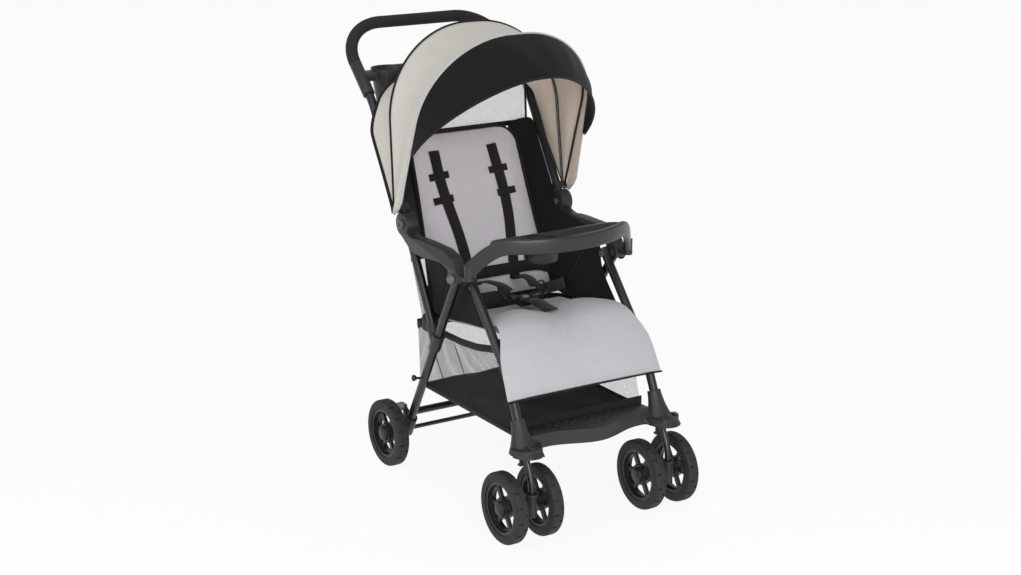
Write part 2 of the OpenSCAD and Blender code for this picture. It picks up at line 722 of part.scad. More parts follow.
// Point of a bow at sideways x and radius r from the pivot axis, in a plane at an angle from level
function bow_point(x, r, a) = [x, canopy_pin(1).y - r * cos(a), canopy_pin(1).z + r * sin(a)];
module canopy_clips() {
    color([0.16, 0.16, 0.17]) for (side = sides) {
        s = side[1];
        c = canopy_pin(s);
        side_wall = tube_r + clip_wall;
        difference() {
            union() {
                along(from(hinge(s), knee(s), canopy_rise - clip_half), knee(s))
                    translate([-side_wall, -side_wall, 0]) cube([2 * side_wall, 2 * side_wall, 2 * clip_half]);
                pin_x(s * (frame_x + tube_r + 1), s * (front_eye_x + eye_t + 1), c.y, c.z, pin_d);
                pin_x(s * (front_eye_x + eye_t + 0.5), s * (front_eye_x + eye_t + 2), c.y, c.z, pin_d + 4);
            }
            rod(hinge(s), knee(s), tube_d + 2 * fit);
        }
    }
}
// A bow: two eyes on the canopy pins and a bent wire between them
module canopy_bow(foot_x, eye_x, half, r, bend, a) {
    color("dimgray") difference() {
        union() {
            bent([bow_point(foot_x, 0, a), bow_point(half, r, a), bow_point(-half, r, a), bow_point(-foot_x, 0, a)],
                [0, bend, bend, 0], bow_d);
            for (e = [-1, 1]) pin_x(e * eye_x, e * (eye_x + eye_t), canopy_pin(1).y, canopy_pin(1).z, 2 * eye_r);
        }
        pin_x(-front_eye_x - 20, front_eye_x + 20, canopy_pin(1).y, canopy_pin(1).z, pin_d + 2 * fit);
        for (e = [-1, 1]) {
            pin_x(e * (eye_x - 10), e * eye_x, canopy_pin(1).y, canopy_pin(1).z, 2 * eye_r);
            pin_x(e * (eye_x + eye_t), e * (eye_x + 20), canopy_pin(1).y, canopy_pin(1).z, 2 * eye_r);
        }
    }
}
mid_half = 206;
front_half = 203;
// Bend of the bows, as a share of the front bow's height
dome = 0.49 * front_r;
module canopy_mid_bow() canopy_bow(mid_foot, mid_eye_x, mid_half, mid_r, dome, mid_angle);
module canopy_front_bow() canopy_bow(front_foot, front_eye_x, front_half, front_r, dome, front_angle);

rear_angle = 117.5;
rear_r = 284;
rear_bend = 110;
arch_steps = 10;
start_r = 26;
// Points over an arch: up one leg from radius r0, round two corners and down the other leg
function arch(foot_x, half, r, bend, a, grow, r0) = let (
        lean = atan((foot_x - half) / r),
        centre = [mix(foot_x, half, (r - bend) / r) - bend / cos(lean), r - bend],
        leg = [for (i = [0 : 2]) let (q = mix(r0, r - bend, i / 3))
            [mix(foot_x, half, q / r), q] + grow * [cos(lean), sin(lean)]],
        corner = [for (i = [0 : arch_steps]) let (t = mix(lean, 90, i / arch_steps))
            centre + (bend + grow) * [cos(t), sin(t)]],
        right = concat(leg, corner))
    concat([for (q = right) bow_point(q.x, q.y, a)],
        [for (i = [len(right) - 1 : -1 : 0]) bow_point(-right[i].x, right[i].y, a)]);
function sheet(c0, c1, rows) = [for (i = [0 : rows]) [for (j = [0 : len(c0) - 1]) mix(c0[j], c1[j], i / rows)]];
lift = bow_d / 2 + 1.1;
// Cloth between two arches, lying just outside the bows
module canopy_rear_panel() {
    function span(g) = sheet(arch(mid_foot + 1, mid_half, rear_r, rear_bend, rear_angle, g, start_r),
        arch(mid_foot, mid_half, mid_r, dome, mid_angle + 0.3, g, start_r), 4);
    color([0.81, 0.8, 0.77]) slab(span(lift + cloth_t), span(lift));
}
module canopy_front_panel() {
    function span(g) = sheet(arch(mid_foot, mid_half, mid_r, dome, mid_angle - 0.3, g, start_r),
        arch(front_foot, front_half, front_r, dome, front_angle + 0.3, g, start_r), 4);
    color([0.81, 0.8, 0.77]) slab(span(lift + cloth_t), span(lift));
}
// Where the visor starts on the front bow, above the canopy pivot
visor_r0 = 0.35 * front_r;
visor_out = 242;
visor_angle = 44;
visor_half = 186;
// Rim of the visor: an arch that leans ahead of the front bow
function visor_rim(n, grow) = let (
        y0 = canopy_pin(1).y - visor_r0 * cos(front_angle),
        z0 = canopy_pin(1).z + visor_r0 * sin(front_angle),
        flare = mix(front_foot, front_half, visor_r0 / front_r) - visor_half)
    [for (i = [0 : n - 1]) let (t = 180 * i / (n - 1))
        [(visor_half + flare * pow(abs(cos(t)), 3) + grow) * cos(t), y0 - (visor_out + grow) * sin(t) * cos(visor_angle) - 10,
            z0 + (visor_out + grow) * sin(t) * sin(visor_angle)]];
module canopy_visor() {
    function span(g) = let (c = arch(front_foot, front_half, front_r, dome, front_angle - 0.3, g, visor_r0))
        sheet(c, visor_rim(len(c), g), 4);
    color([0.13, 0.12, 0.13]) slab(span(lift + cloth_t), span(lift));
}

// Child tray

tray_half = frame_x + 6;
tray_back = 152;
tray_wall = 3;
tray_sag = 24;
tray_bow = (tray_half * tray_half + tray_sag * tray_sag) / (2 * tray_sag);
well_x = -48;
well_depth = 56;
tray_arm_w = 20;
corner_r = 26;

module tray_plan(inset) {
    intersection() {
        translate([0, -tray_front + tray_bow]) circle(tray_bow - inset, $fn = 96);
        union() {
            translate([-tray_half + corner_r, -tray_front - 20])
                square([2 * (tray_half - corner_r), tray_front - tray_back + 20 - inset]);
            for (e = [-1, 1]) translate([e * (tray_half - corner_r), -tray_back - corner_r - 14]) circle(corner_r - inset);
            translate([-tray_half + inset, -tray_front - 20])
                square([2 * (tray_half - inset), tray_front - tray_back - corner_r + 6]);
        }
    }
}
// Bowed child tray with a raised rim, a cup well and an arm down to each armrest clip
module child_tray() {
    floor_z = tray_z - tray_h + 10;
    color([0.2, 0.2, 0.21]) difference() {
        union() {
            translate([0, 0, tray_z - tray_h]) linear_extrude(tray_h) tray_plan(0);
            translate([well_x, -tray_back - well_r - 12, tray_z - well_depth])
                cylinder(r = well_r + tray_wall, h = well_depth - 4);
            for (side = sides) {
                s = side[1];
                side_plate(s * (tray_half - tray_arm_w), s * (tray_half - 0.5)) polygon([
                    [-clip_y, clip_high], [-clip_y, clip_low + ear_t + gap], [-clip_y - 22, clip_low + ear_t + 4],
                    [-clip_y - 58, tray_z - tray_h - 8], [-clip_y - 68, tray_z - tray_h + 6], [-clip_y - 60, tray_z - 4],
                    [-clip_y - 20, tray_z - 12]]);
                translate([s * frame_x, -clip_y, clip_low + ear_t + gap])
                    cylinder(r = knuckle_r, h = clip_high - clip_low - ear_t - gap);
            }
        }
        translate([0, 0, floor_z]) linear_extrude(tray_h) difference() {
            tray_plan(tray_wall + 4);
            translate([well_x, -tray_back - well_r - 12]) circle(well_r + tray_wall + 1.5);
        }
        translate([0, 0, tray_z - tray_h - 1]) linear_extrude(10 - tray_wall + 1) difference() {
            tray_plan(tray_wall);
            translate([well_x, -tray_back - well_r - 12]) circle(well_r + tray_wall + 1);
            for (e = [-1, 1]) translate([e * tray_half - 24, -tray_front - 20]) square([48, 140]);
        }
        translate([well_x, -tray_back - well_r - 12, tray_z - well_depth + tray_wall])
            cylinder(r = well_r, h = well_depth);
        for (side = sides)
            translate([side[1] * frame_x, -clip_y, clip_low]) cylinder(d = clip_pin_d + 2 * fit, h = clip_high - clip_low + 1);
        translate([-frame_x - clip_pin_d / 2 - gap, -clip_y, clip_low])
            cube([clip_pin_d + 2 * gap, 3 * knuckle_r, clip_high - clip_low + 1]);
    }
}

// Seat and soft goods

seat_y = 58;
seat_z = 365;
pad_top_half = 136;
waist = 4;
function swell(u, v) = pow(max(0, (1 - u * u) * (1 - v * v)), 0.5);
// Frame of the seat back: up along the back, out towards the child
back_up = [0, cos(back_angle), sin(back_angle)];
back_out = [0, -sin(back_angle), cos(back_angle)];
function back_point(x, l, t) = [x, seat_y, seat_z] + back_up * l + back_out * t;
function back_half(v) = mix(seat_half, pad_top_half, (v + 1) / 2) - waist * (1 - v * v);
function pad_rise(u, v) = pad_t + pad_crown * swell(u, v);
pad_cols = 14;
pad_rows = 14;
pad_lead = 26;
function back_grid(f) = [for (i = [0 : pad_rows]) let (v = -1 + 2 * i / pad_rows) [for (j = [0 : pad_cols])
    let (u = -1 + 2 * j / pad_cols) back_point(u * back_half(v), mix(pad_lead, back_len, (v + 1) / 2), f == 1 ? pad_rise(u, v) : 0)]];
module seat_back_pad() {
    color([0.73, 0.71, 0.74]) slab(back_grid(1), back_grid(0));
}
board_t = 4;
// Stiff board behind the pad, with the recline hinge tube at its foot
module seat_back_board() {
    color([0.15, 0.15, 0.15]) place([0, seat_y, seat_z], [1, 0, 0], back_up, back_out) difference() {
        union() {
            translate([-pad_top_half + 6, 4, -board_t - gap]) cube([2 * (pad_top_half - 6), back_len - 20, board_t]);
            pin_x(-pad_top_half + 6, pad_top_half - 6, 0, 0, 14);
        }
        pin_x(-200, 200, 0, 0, bolt_d + 2 * fit);
    }
}
// Rod through the recline hinge, held by the rear legs
module recline_rod() {
    color("gray") difference() {
        union() {
            pin_x(-pad_top_half - 4, pad_top_half + 4, seat_y, seat_z, bolt_d);
            for (side = sides) {
                s = side[1];
                rod([s * (pad_top_half + 4), seat_y, seat_z], tie(s) + [0, 0, bracket_half - 4], bolt_d);
            }
        }
        for (side = sides) {
            rod(pivot(side[1]), foot(side[1]), tube_d + 2 * bracket_wall + 2 * fit);
            rod(tie(side[1]), hinge(side[1]), tube_d + 2 * bracket_wall + 2 * fit);
        }
    }
}
strap_x = 73;
strap_w = 26;
strap_t = 2.4;
slot_l = 352;
strap_foot_l = 90;
tab_w = 44;
tab_h = 16;
strap_steps = 10;
// Shoulder straps on the pad, each with two cross tabs
module shoulder_straps() {
    function v_at(l) = -1 + 2 * (l - pad_lead) / (back_len - pad_lead);
    function u_at(x, l) = x / back_half(v_at(l));
    function strip(x0, x1, l0, l1, n, h) = [for (i = [0 : n]) let (l = mix(l0, l1, i / n)) [for (k = [0 : 2])
        let (x = mix(x0, x1, k / 2)) back_point(x, l, pad_rise(u_at(x, l), v_at(l)) + h)]];
    color([0.12, 0.12, 0.12]) for (side = sides) {
        s = side[1];
        a = s * strap_x - strap_w / 2;
        slab(strip(a, a + strap_w, strap_foot_l, slot_l, strap_steps, gap + strap_t),
            strip(a, a + strap_w, strap_foot_l, slot_l, strap_steps, gap));
        for (l = [slot_l - 60, slot_l - 120])
            slab(strip(s * strap_x - tab_w / 2, s * strap_x + tab_w / 2, l, l + tab_h, 2, gap + seat_gap + 2 * strap_t),
                strip(s * strap_x - tab_w / 2, s * strap_x + tab_w / 2, l, l + tab_h, 2, gap + seat_gap + strap_t));
    }
}
base_rear_z = 372;
base_front_z = 402;
base_front_y = 214;
base_rear_y = 30;
function base_half(v) = seat_half - waist * (1 - v * v);
function base_z(v) = mix(base_rear_z, base_front_z, (v + 1) / 2);
function base_grid(f) = [for (i = [0 : pad_rows]) let (v = -1 + 2 * i / pad_rows) [for (j = [0 : pad_cols])
    let (u = -1 + 2 * j / pad_cols)
        [u * base_half(v), mix(base_rear_y, -base_front_y, (v + 1) / 2), base_z(v) + (f == 1 ? pad_rise(u, v) : 0)]]];
module seat_base() {
    color([0.73, 0.71, 0.74]) slab(base_grid(1), base_grid(0));
}
calf_r = 26;
calf_turn = 58;
calf_drop = 132;
calf_t = 7;
calf_half_top = 160;
calf_half_low = 184;
calf_rows = 12;
calf_roll = 0.25;
calf_fold = 3;
// Side path of the calf panel: over the seat's front edge, then straight down to its hem
function calf_path(v, t) = let (
        a = calf_turn * min(1, v / calf_roll),
        n = [-sin(a), cos(a)],
        d = [-cos(a), -sin(a)],
        run = calf_drop * max(0, (v - calf_roll) / (1 - calf_roll)))
    [-base_front_y - gap, base_front_z + pad_t - calf_r] + n * (calf_r + t) + d * run;
// Calf panel that hangs from the seat's front edge, with soft hanging folds
module calf_panel() {
    function grid(t) = [for (i = [0 : calf_rows]) let (v = i / calf_rows) [for (j = [0 : 20])
        let (u = -1 + j / 10, wave = calf_fold * v * (1 + sin(540 * u)) * (1 - u * u), q = calf_path(v, t + wave))
            [u * mix(calf_half_top, calf_half_low, v), q.x, q.y]]];
    color([0.73, 0.71, 0.74]) slab(grid(calf_t), grid(0));
}
wing_t = 3;
wing_top_x = arm_in - seat_gap;
// Side wing of the seat, from the armrest down to the seat's edge
module seat_wing(s) {
    function row(v) = [for (j = [0 : 8]) let (t = j / 8) [s * (mix(wing_top_x, seat_half + wing_t + seat_gap, v) - 3 * sin(180 * v)),
        mix(mix(70, 28, v), mix(-80, -186, v), t), mix(mix(arm_top - 4, 382, v), mix(arm_top - 26, 408, v), t)]];
    color([0.13, 0.13, 0.13]) slab([for (i = [0 : 6]) row(i / 6)],
        [for (i = [0 : 6]) [for (q = row(i / 6)) q - [s * wing_t, 0, 0]]]);
}
basket_wall = 2;
basket_half = 158;
basket_back = 118;
basket_front = plate_rear - gap;
basket_rim = 352;
// Basket under the seat, open at the top
module basket() {
    function outline(w) = [[-basket_front + w, basket_z + w], [basket_back - w, basket_z + w],
        [basket_back + 8 - w, basket_rim + 2 * w], [-90, basket_rim + 2 * w], [-basket_front + w, basket_z + 34 + 2 * w]];
    color([0.6, 0.6, 0.6]) difference() {
        side_plate(-basket_half, basket_half) polygon(outline(0));
        side_plate(-basket_half + basket_wall, basket_half - basket_wall) polygon(outline(basket_wall));
    }
}
buckle_y = 70;
buckle_z = base_z(-0.05) + pad_t + pad_crown + gap;
buckle_w = 46;
buckle_d = 34;
buckle_h = 16;
button_r = 8;
module buckle() {
    color([0.12, 0.12, 0.12]) translate([0, -buckle_y, buckle_z]) difference() {
        translate([-buckle_w / 2, -buckle_d / 2, 0]) cube([buckle_w, buckle_d, buckle_h]);
        translate([0, 0, buckle_h - 8]) cylinder(r = button_r + fit, h = 10);
    }
}
module buckle_button() {
    color([0.6, 0.1, 0.1]) translate([0, -buckle_y, buckle_z + buckle_h - 5]) cylinder(r = button_r, h = 6.5);
}
belt_w = 26;
belt_t = 2.4;
belt_end_x = seat_half + 5;
// Lap belt from the buckle to each side of the seat
module lap_belt() {
    function run(s, h) = [for (i = [0 : 6]) let (t = i / 6) [for (k = [-1, 1])
        [s * mix(buckle_w / 2 + gap, belt_end_x, t), -buckle_y + k * belt_w / 2 + 20 * t, buckle_z + 6 + 30 * sin(90 * t) + h]]];
    color([0.12, 0.12, 0.12]) for (side = sides) slab(run(side[1], belt_t), run(side[1], 0));
}

module lower_push_tubes() {
    for (side = sides) lower_push_tube(side[1]);
}
module leg_brackets() {
    for (side = sides) leg_bracket(side[1]);
}
module swivel_posts() {
    for (side = sides) swivel_post(side[1]);
}
module seat_wings() {
    for (side = sides) seat_wing(side[1]);
}

rear_leg(1);  // rear_leg_left
rear_leg(-1);  // rear_leg_right
lower_push_tubes();
leg_brackets();
armrest(1);  // armrest_left
armrest(-1);  // armrest_right
pivot_bolts();
hinge_bolts();
rear_crossbar();
rear_axle();
wheel_housing(1);  // wheel_housing_left
wheel_housing(-1);  // wheel_housing_right
brake_pedal(1);  // brake_pedal_left
brake_pedal(-1);  // brake_pedal_right
rear_rim(1);  // rear_rim_left
rear_rim(-1);  // rear_rim_right
rear_tyre(1);  // rear_tyre_left
rear_tyre(-1);  // rear_tyre_right
front_leg(1);  // front_leg_left
front_leg(-1);  // front_leg_right
footrest();
seat_front_bar();
swivel_posts();
swivel_lock(1);  // swivel_lock_left
swivel_lock(-1);  // swivel_lock_right
caster_fork(1);  // caster_fork_left
caster_fork(-1);  // caster_fork_right
front_axle(1);  // front_axle_left
front_axle(-1);  // front_axle_right
front_rim(1, 1);  // front_rim_left_outer
front_rim(1, -1);  // front_rim_left_inner
front_rim(-1, -1);  // front_rim_right_outer
front_rim(-1, 1);  // front_rim_right_inner
front_tyre(1, 1);  // front_tyre_left_outer
front_tyre(1, -1);  // front_tyre_left_inner
front_tyre(-1, -1);  // front_tyre_right_outer
front_tyre(-1, 1);  // front_tyre_right_inner
push_handle();
foam_grip();
parent_tray();
fold_trigger();
canopy_clips();
canopy_mid_bow();
canopy_front_bow();
canopy_rear_panel();
canopy_front_panel();
canopy_visor();
child_tray();
seat_back_board();
seat_back_pad();
shoulder_straps();
recline_rod();
seat_base();
seat_wings();
calf_panel();
basket();
buckle();
buckle_button();
lap_belt();
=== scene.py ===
"""Looks of a folding stroller: cloth, padding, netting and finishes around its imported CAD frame."""

from __future__ import annotations

import json
import logging
import math
from collections.abc import Iterable, Iterator, Sequence
from contextlib import contextmanager
from dataclasses import dataclass, field, replace
from enum import Enum

import bmesh
import bpy
import numpy as np
from mathutils import Matrix, Vector
from mathutils.bvhtree import BVHTree

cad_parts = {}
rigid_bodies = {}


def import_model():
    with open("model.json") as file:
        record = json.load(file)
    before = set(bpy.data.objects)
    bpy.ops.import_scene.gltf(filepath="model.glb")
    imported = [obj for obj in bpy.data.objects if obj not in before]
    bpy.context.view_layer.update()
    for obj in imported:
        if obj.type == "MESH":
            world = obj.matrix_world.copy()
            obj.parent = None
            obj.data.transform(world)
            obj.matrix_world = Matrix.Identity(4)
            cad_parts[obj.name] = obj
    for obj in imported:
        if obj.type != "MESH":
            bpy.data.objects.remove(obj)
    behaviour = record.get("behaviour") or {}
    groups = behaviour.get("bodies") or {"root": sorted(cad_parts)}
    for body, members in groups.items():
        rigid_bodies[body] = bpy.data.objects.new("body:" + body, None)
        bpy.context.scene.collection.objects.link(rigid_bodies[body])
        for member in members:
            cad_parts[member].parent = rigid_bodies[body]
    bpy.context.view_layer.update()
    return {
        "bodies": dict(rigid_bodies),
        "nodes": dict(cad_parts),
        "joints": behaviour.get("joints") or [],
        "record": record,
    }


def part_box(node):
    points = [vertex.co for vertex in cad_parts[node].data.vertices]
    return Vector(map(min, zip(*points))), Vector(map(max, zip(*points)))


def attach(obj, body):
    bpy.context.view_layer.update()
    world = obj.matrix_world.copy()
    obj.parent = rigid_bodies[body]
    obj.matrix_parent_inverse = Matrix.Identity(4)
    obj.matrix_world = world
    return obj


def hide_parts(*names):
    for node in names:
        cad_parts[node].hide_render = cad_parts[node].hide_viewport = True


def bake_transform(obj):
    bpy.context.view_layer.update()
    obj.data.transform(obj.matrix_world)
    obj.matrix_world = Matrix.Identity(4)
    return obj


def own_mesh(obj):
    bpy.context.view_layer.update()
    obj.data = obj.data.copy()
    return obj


LOG = logging.getLogger("stroller")
Colour = tuple[float, float, float]
Point = tuple[float, float, float]
Points = tuple[Point, ...]
Pairs = tuple[tuple[float, float], ...]
Array = np.ndarray
Object = bpy.types.Object
Material = bpy.types.Material
Socket = bpy.types.NodeSocket
SIDES = {"left": 1.0, "right": -1.0}
ACROSS = np.array([1.0, 0.0, 0.0])
UPWARD = np.array([0.0, 0.0, 1.0])
TURN = 2 * math.pi


class Body(Enum):
    """The CAD bodies that pieces ride on."""

    CHASSIS = "chassis"
    FRONT_FRAME = "front_frame"
    HANDLE = "handle_frame"
    CANOPY_MID = "canopy_mid"
    CANOPY_FRONT = "canopy_front"
    SEAT_BACK = "seat_back"
    CHILD_TRAY = "child_tray"


def srgb(code: str) -> Colour:
    """Turns a hex colour into linear red, green and blue."""
    parts = [int(code[i : i + 2], 16) / 255 for i in (0, 2, 4)]
    return tuple(c / 12.92 if c <= 0.04045 else ((c + 0.055) / 1.055) ** 2.4 for c in parts)


class Shader:
    """A node material that is put together one node at a time."""

    def __init__(self, name: str) -> None:
        """Starts an empty material with an output node."""
        self.material = bpy.data.materials.new(name)
        self.material.use_nodes = True
        self.tree = self.material.node_tree
        self.tree.nodes.clear()
        self.output = self.tree.nodes.new("ShaderNodeOutputMaterial")

    def add(self, kind: str, inputs: dict | None = None, **settings: object) -> bpy.types.Node:
        """Adds a node.

        Args:
            kind: The node's type, without its ShaderNode prefix.
            inputs: Values or sockets for the node's inputs, by name or by number.
            settings: Properties of the node itself.

        Returns:
            The new node.
        """
        node = self.tree.nodes.new("ShaderNode" + kind)
        for key, value in settings.items():
            setattr(node, key, value)
        for key, value in (inputs or {}).items():
            if isinstance(value, bpy.types.NodeSocket):
                self.tree.links.new(value, node.inputs[key])
            elif isinstance(value, tuple) and len(value) == 3 and node.inputs[key].type == "RGBA":
                node.inputs[key].default_value = (*value, 1.0)
            else:
                node.inputs[key].default_value = value
        return node

    def coords(self, kind: str = "Object") -> Socket:
        """Returns the socket with one kind of the piece's coordinates."""
        return self.add("TexCoord").outputs[kind]

    def noise(self, coords: Socket, scale: float, detail: float = 2.0) -> Socket:
        """Adds a noise texture and returns its value socket."""
        return self.add("TexNoise", {"Vector": coords, "Scale": scale, "Detail": detail}).outputs[0]

    def bands(self, coords: Socket, pitch: float, way: str = "X") -> Socket:
        """Adds straight bands across one way and returns their value socket."""
        inputs = {"Vector": coords, "Scale": 1.0 / pitch / TURN}
        return self.add("TexWave", inputs, bands_direction=way).outputs[1]

    def combine(self, operation: str, a: Socket, b: Socket | float) -> Socket:
        """Works out one value from two and returns its socket."""
        return self.add("Math", {0: a, 1: b}, operation=operation).outputs[0]

    def bump(self, height: Socket, distance: float, strength: float, normal: Socket | None = None) -> Socket:
        """Adds relief, on top of another normal if there is one, and returns the new normal's socket."""
        inputs = {"Height": height, "Distance": distance, "Strength": strength}
        if normal is not None:
            inputs["Normal"] = normal
        return self.add("Bump", inputs).outputs[0]

    def span(self, value: Socket, low: float, high: float) -> Socket:
        """Maps a 0 to 1 value to the span from low to high."""
        return self.add("MapRange", {"Value": value, "To Min": low, "To Max": high}).outputs[0]

    def tinted(self, value: Socket, dark: Colour, light: Colour) -> Socket:
        """Mixes two colours by a 0 to 1 value and returns the colour socket."""
        mix = self.add("Mix", data_type="RGBA")
        self.tree.links.new(value, mix.inputs[0])
        mix.inputs[6].default_value = (*dark, 1.0)
        mix.inputs[7].default_value = (*light, 1.0)
        return mix.outputs[2]

    def surface(self, inputs: dict) -> Socket:
        """Adds a principled surface and returns its socket."""
        return self.add("BsdfPrincipled", inputs).outputs[0]

    def mixed(self, share: Socket | float, first: Socket, second: Socket) -> Material:
        """Mixes two surfaces, links them to the output and returns the material."""
        return self.finish(self.add("MixShader", {0: share, 1: first, 2: second}).outputs[0])

    def finish(self, surface: Socket) -> Material:
        """Links the surface to the output and returns the material."""
        self.tree.links.new(surface, self.output.inputs["Surface"])
        return self.material


def shade(colour: Colour, factor: float) -> Colour:
    """Scales a colour."""
    return tuple(min(1.0, c * factor) for c in colour)


@dataclass(frozen=True)
class Finish:
    """What every finish has: its name and its main colour."""

    name: str
    colour: Colour

    def tones(self, s: Shader, value: Socket, dark: float, light: float) -> Socket:
        """Varies the main colour between two shares of it and returns the colour socket."""
        return s.tinted(value, shade(self.colour, dark), shade(self.colour, light))


@dataclass(frozen=True)
class Moulding(Finish):
    """Moulded plastic with a fine grain and softened edges."""

    roughness: float = 0.42
    grain: float = 0.00006
    edge: float = 0.0015
    specular: float = 0.5

    def build(self) -> Material:
        """Returns the material."""
        s = Shader(self.name)
        at = s.coords()
        cloud = s.noise(at, 18.0, 4.0)
        rounded = s.add("Bevel", {"Radius": self.edge}, samples=6).outputs[0]
        return s.finish(s.surface({
            "Base Color": self.tones(s, cloud, 0.9, 1.1),
            "Roughness": s.span(cloud, self.roughness - 0.05, self.roughness + 0.07),
            "Specular IOR Level": self.specular,
            "Normal": s.bump(s.noise(at, 1500.0), self.grain, 0.6, rounded)}))


@dataclass(frozen=True)
class TubePaint(Finish):
    """Powder-coated tube with a slight orange peel."""

    roughness: float = 0.3

    def build(self) -> Material:
        """Returns the material."""
        s = Shader(self.name)
        at = s.coords()
        return s.finish(s.surface({
            "Base Color": self.colour,
            "Roughness": s.span(s.noise(at, 30.0), self.roughness - 0.06, self.roughness + 0.08),
            "Coat Weight": 0.12, "Coat Roughness": 0.2,
            "Normal": s.bump(s.noise(at, 700.0, 3.0), 0.00008, 0.35)}))


@dataclass(frozen=True)
class BareSteel(Finish):
    """Plain drawn steel."""

    roughness: float = 0.3

    def build(self) -> Material:
        """Returns the material."""
        s = Shader(self.name)
        grain = s.noise(s.coords(), 160.0, 3.0)
        return s.finish(s.surface({
            "Base Color": self.colour, "Metallic": 1.0,
            "Roughness": s.span(grain, self.roughness - 0.08, self.roughness + 0.1)}))


@dataclass(frozen=True)
class CellFoam(Finish):
    """Closed-cell foam or rubber with fine pores."""

    pores: float = 900.0
    depth: float = 0.0003
    roughness: float = 0.8

    def build(self) -> Material:
        """Returns the material."""
        s = Shader(self.name)
        at = s.coords()
        cells = s.add("TexVoronoi", {"Vector": at, "Scale": self.pores}).outputs[0]
        cloud = s.noise(at, 22.0, 4.0)
        return s.finish(s.surface({
            "Base Color": self.tones(s, cloud, 0.8, 1.3),
            "Roughness": s.span(cloud, self.roughness - 0.08, self.roughness + 0.08),
            "Normal": s.bump(cells, self.depth, 0.5)}))


@dataclass(frozen=True)
class Weave(Finish):
    """Woven cloth whose threads follow the piece's own UV map, laid out in metres."""

    pitch: float = 0.0011
    crease: float = 0.0012
    crease_scale: float = 9.0
    stretch: Point = (1.0, 1.0, 1.0)
    sheen: float = 0.25

    def build(self) -> Material:
        """Returns the material."""
        s = Shader(self.name)
        uv, at = s.coords("UV"), s.coords()
        threads = s.combine("MULTIPLY", s.bands(uv, self.pitch, "X"), s.bands(uv, self.pitch, "Y"))
        fine = s.bump(threads, 0.00012, 0.5)
        drawn = s.add("Mapping", {"Vector": at, "Scale": self.stretch}).outputs[0]
        folds = s.noise(drawn, self.crease_scale, 3.0)
        return s.finish(s.surface({
            "Base Color": self.tones(s, s.noise(at, 60.0, 4.0), 0.95, 1.04),
            "Roughness": 0.88, "Sheen Weight": self.sheen, "Sheen Roughness": 0.5, "Specular IOR Level": 0.2,
            "Normal": s.bump(folds, self.crease * 6, 0.35, fine)}))


@dataclass(frozen=True)
class Netting(Finish):
    """Open net: crossing threads over clear gaps, on the piece's own UV map in metres."""

    pitch: float = 0.0026
    cover: float = 0.5

    def build(self) -> Material:
        """Returns the material."""
        s = Shader(self.name)
        uv = s.coords("UV")
        threads = []
        for turn in (45.0, -45.0):
            turned = s.add("Mapping", {"Vector": uv, "Rotation": (0, 0, math.radians(turn))}).outputs[0]
            threads.append(s.combine("GREATER_THAN", s.bands(turned, self.pitch), 1.0 - self.cover * 0.55))
        clear = s.add("BsdfTransparent").outputs[0]
        solid = s.surface({"Base Color": self.colour, "Roughness": 0.7, "Specular IOR Level": 0.3})
        return s.mixed(s.combine("MAXIMUM", *threads), clear, solid)


@dataclass(frozen=True)
class SmokedPlastic(Finish):
    """Thin see-through plastic, tinted dark."""

    cover: float = 0.6

    def build(self) -> Material:
        """Returns the material."""
        s = Shader(self.name)
        clear = s.add("BsdfTransparent", {"Color": (0.5, 0.5, 0.5)}).outputs[0]
        return s.mixed(self.cover, clear, s.surface({"Base Color": self.colour, "Roughness": 0.12}))


class Finishes:
    """Every finish on the stroller, built once."""

    def __init__(self) -> None:
        """Builds the materials."""
        made = (
            TubePaint("tube_black", srgb("131314"), roughness=0.36),
            Moulding("charcoal", srgb("2a292a"), specular=0.4),
            Moulding("tray_black", srgb("272728"), roughness=0.3, specular=0.45),
            Moulding("gloss_black", srgb("1d1d1e"), roughness=0.16, grain=0.00001),
            Moulding("rim_black", srgb("1f1f20"), roughness=0.36, specular=0.4),
            Moulding("pedal_grey", srgb("8a8a85"), roughness=0.5),
            Moulding("cap_grey", srgb("5c5a59"), roughness=0.4),
            Moulding("buckle_black", srgb("1b1b1c"), roughness=0.38),
            BareSteel("steel", srgb("8d8d8f")),
            BareSteel("dark_steel", srgb("4a4a4c"), roughness=0.35),
            CellFoam("tyre", srgb("202020"), pores=500.0, roughness=0.72),
            CellFoam("foam", srgb("1c1b1c"), roughness=0.85),
            # The seat and calf cloths are one grey cloth: the seat pads' copy is painted lighter to make up
            # for the canopy's shade over them, and the calf panel's copy is painted darker where more light
            # falls on it.
            Weave("seat_cloth_painted_lighter", srgb("c6c3c8"), crease=0.002, crease_scale=26.0, stretch=(1.0, 1.0, 0.3)),
            Weave("calf_cloth_painted_darker", srgb("b3b0b6"), crease=0.002, crease_scale=14.0),
            Weave("canopy_cloth", srgb("c9c5be"), crease_scale=12.0),
            # The lining's colour is its real beige lightened with painted light, standing in for the light
            # that shines through the thin canopy cloth.
            Weave("lining_painted_glow", srgb("e6d6c6"), crease_scale=12.0),
            Weave("black_cloth", srgb("131213"), crease_scale=11.0, sheen=0.06),
            Weave("webbing", srgb("1f1d1d"), pitch=0.0016, crease=0.0002, sheen=0.1),
            Weave("piping", srgb("1a1818"), pitch=0.0008, crease=0.0002, sheen=0.1),
            Weave("pale_piping", srgb("b6b5b8"), pitch=0.0008, crease=0.0002),
            Weave("thread_grey", srgb("a5a2a8"), pitch=0.0006, crease=0.0001),
            Netting("net", srgb("262727"), pitch=0.0015, cover=0.2),
            Netting("window_net", srgb("c3c8c4"), pitch=0.0017, cover=0.5),
            SmokedPlastic("smoked", srgb("2b2b2c")),
        )
        self.by_name = {finish.name: finish.build() for finish in made}

    def __getitem__(self, name: str) -> Material:
        """Returns a finish by its name."""
        return self.by_name[name]


def link_new(name: str, data: bpy.types.ID) -> Object:
    """Makes an object from its data and puts it into the scene."""
    obj = bpy.data.objects.new(name, data)
    bpy.context.scene.collection.objects.link(obj)
    return obj


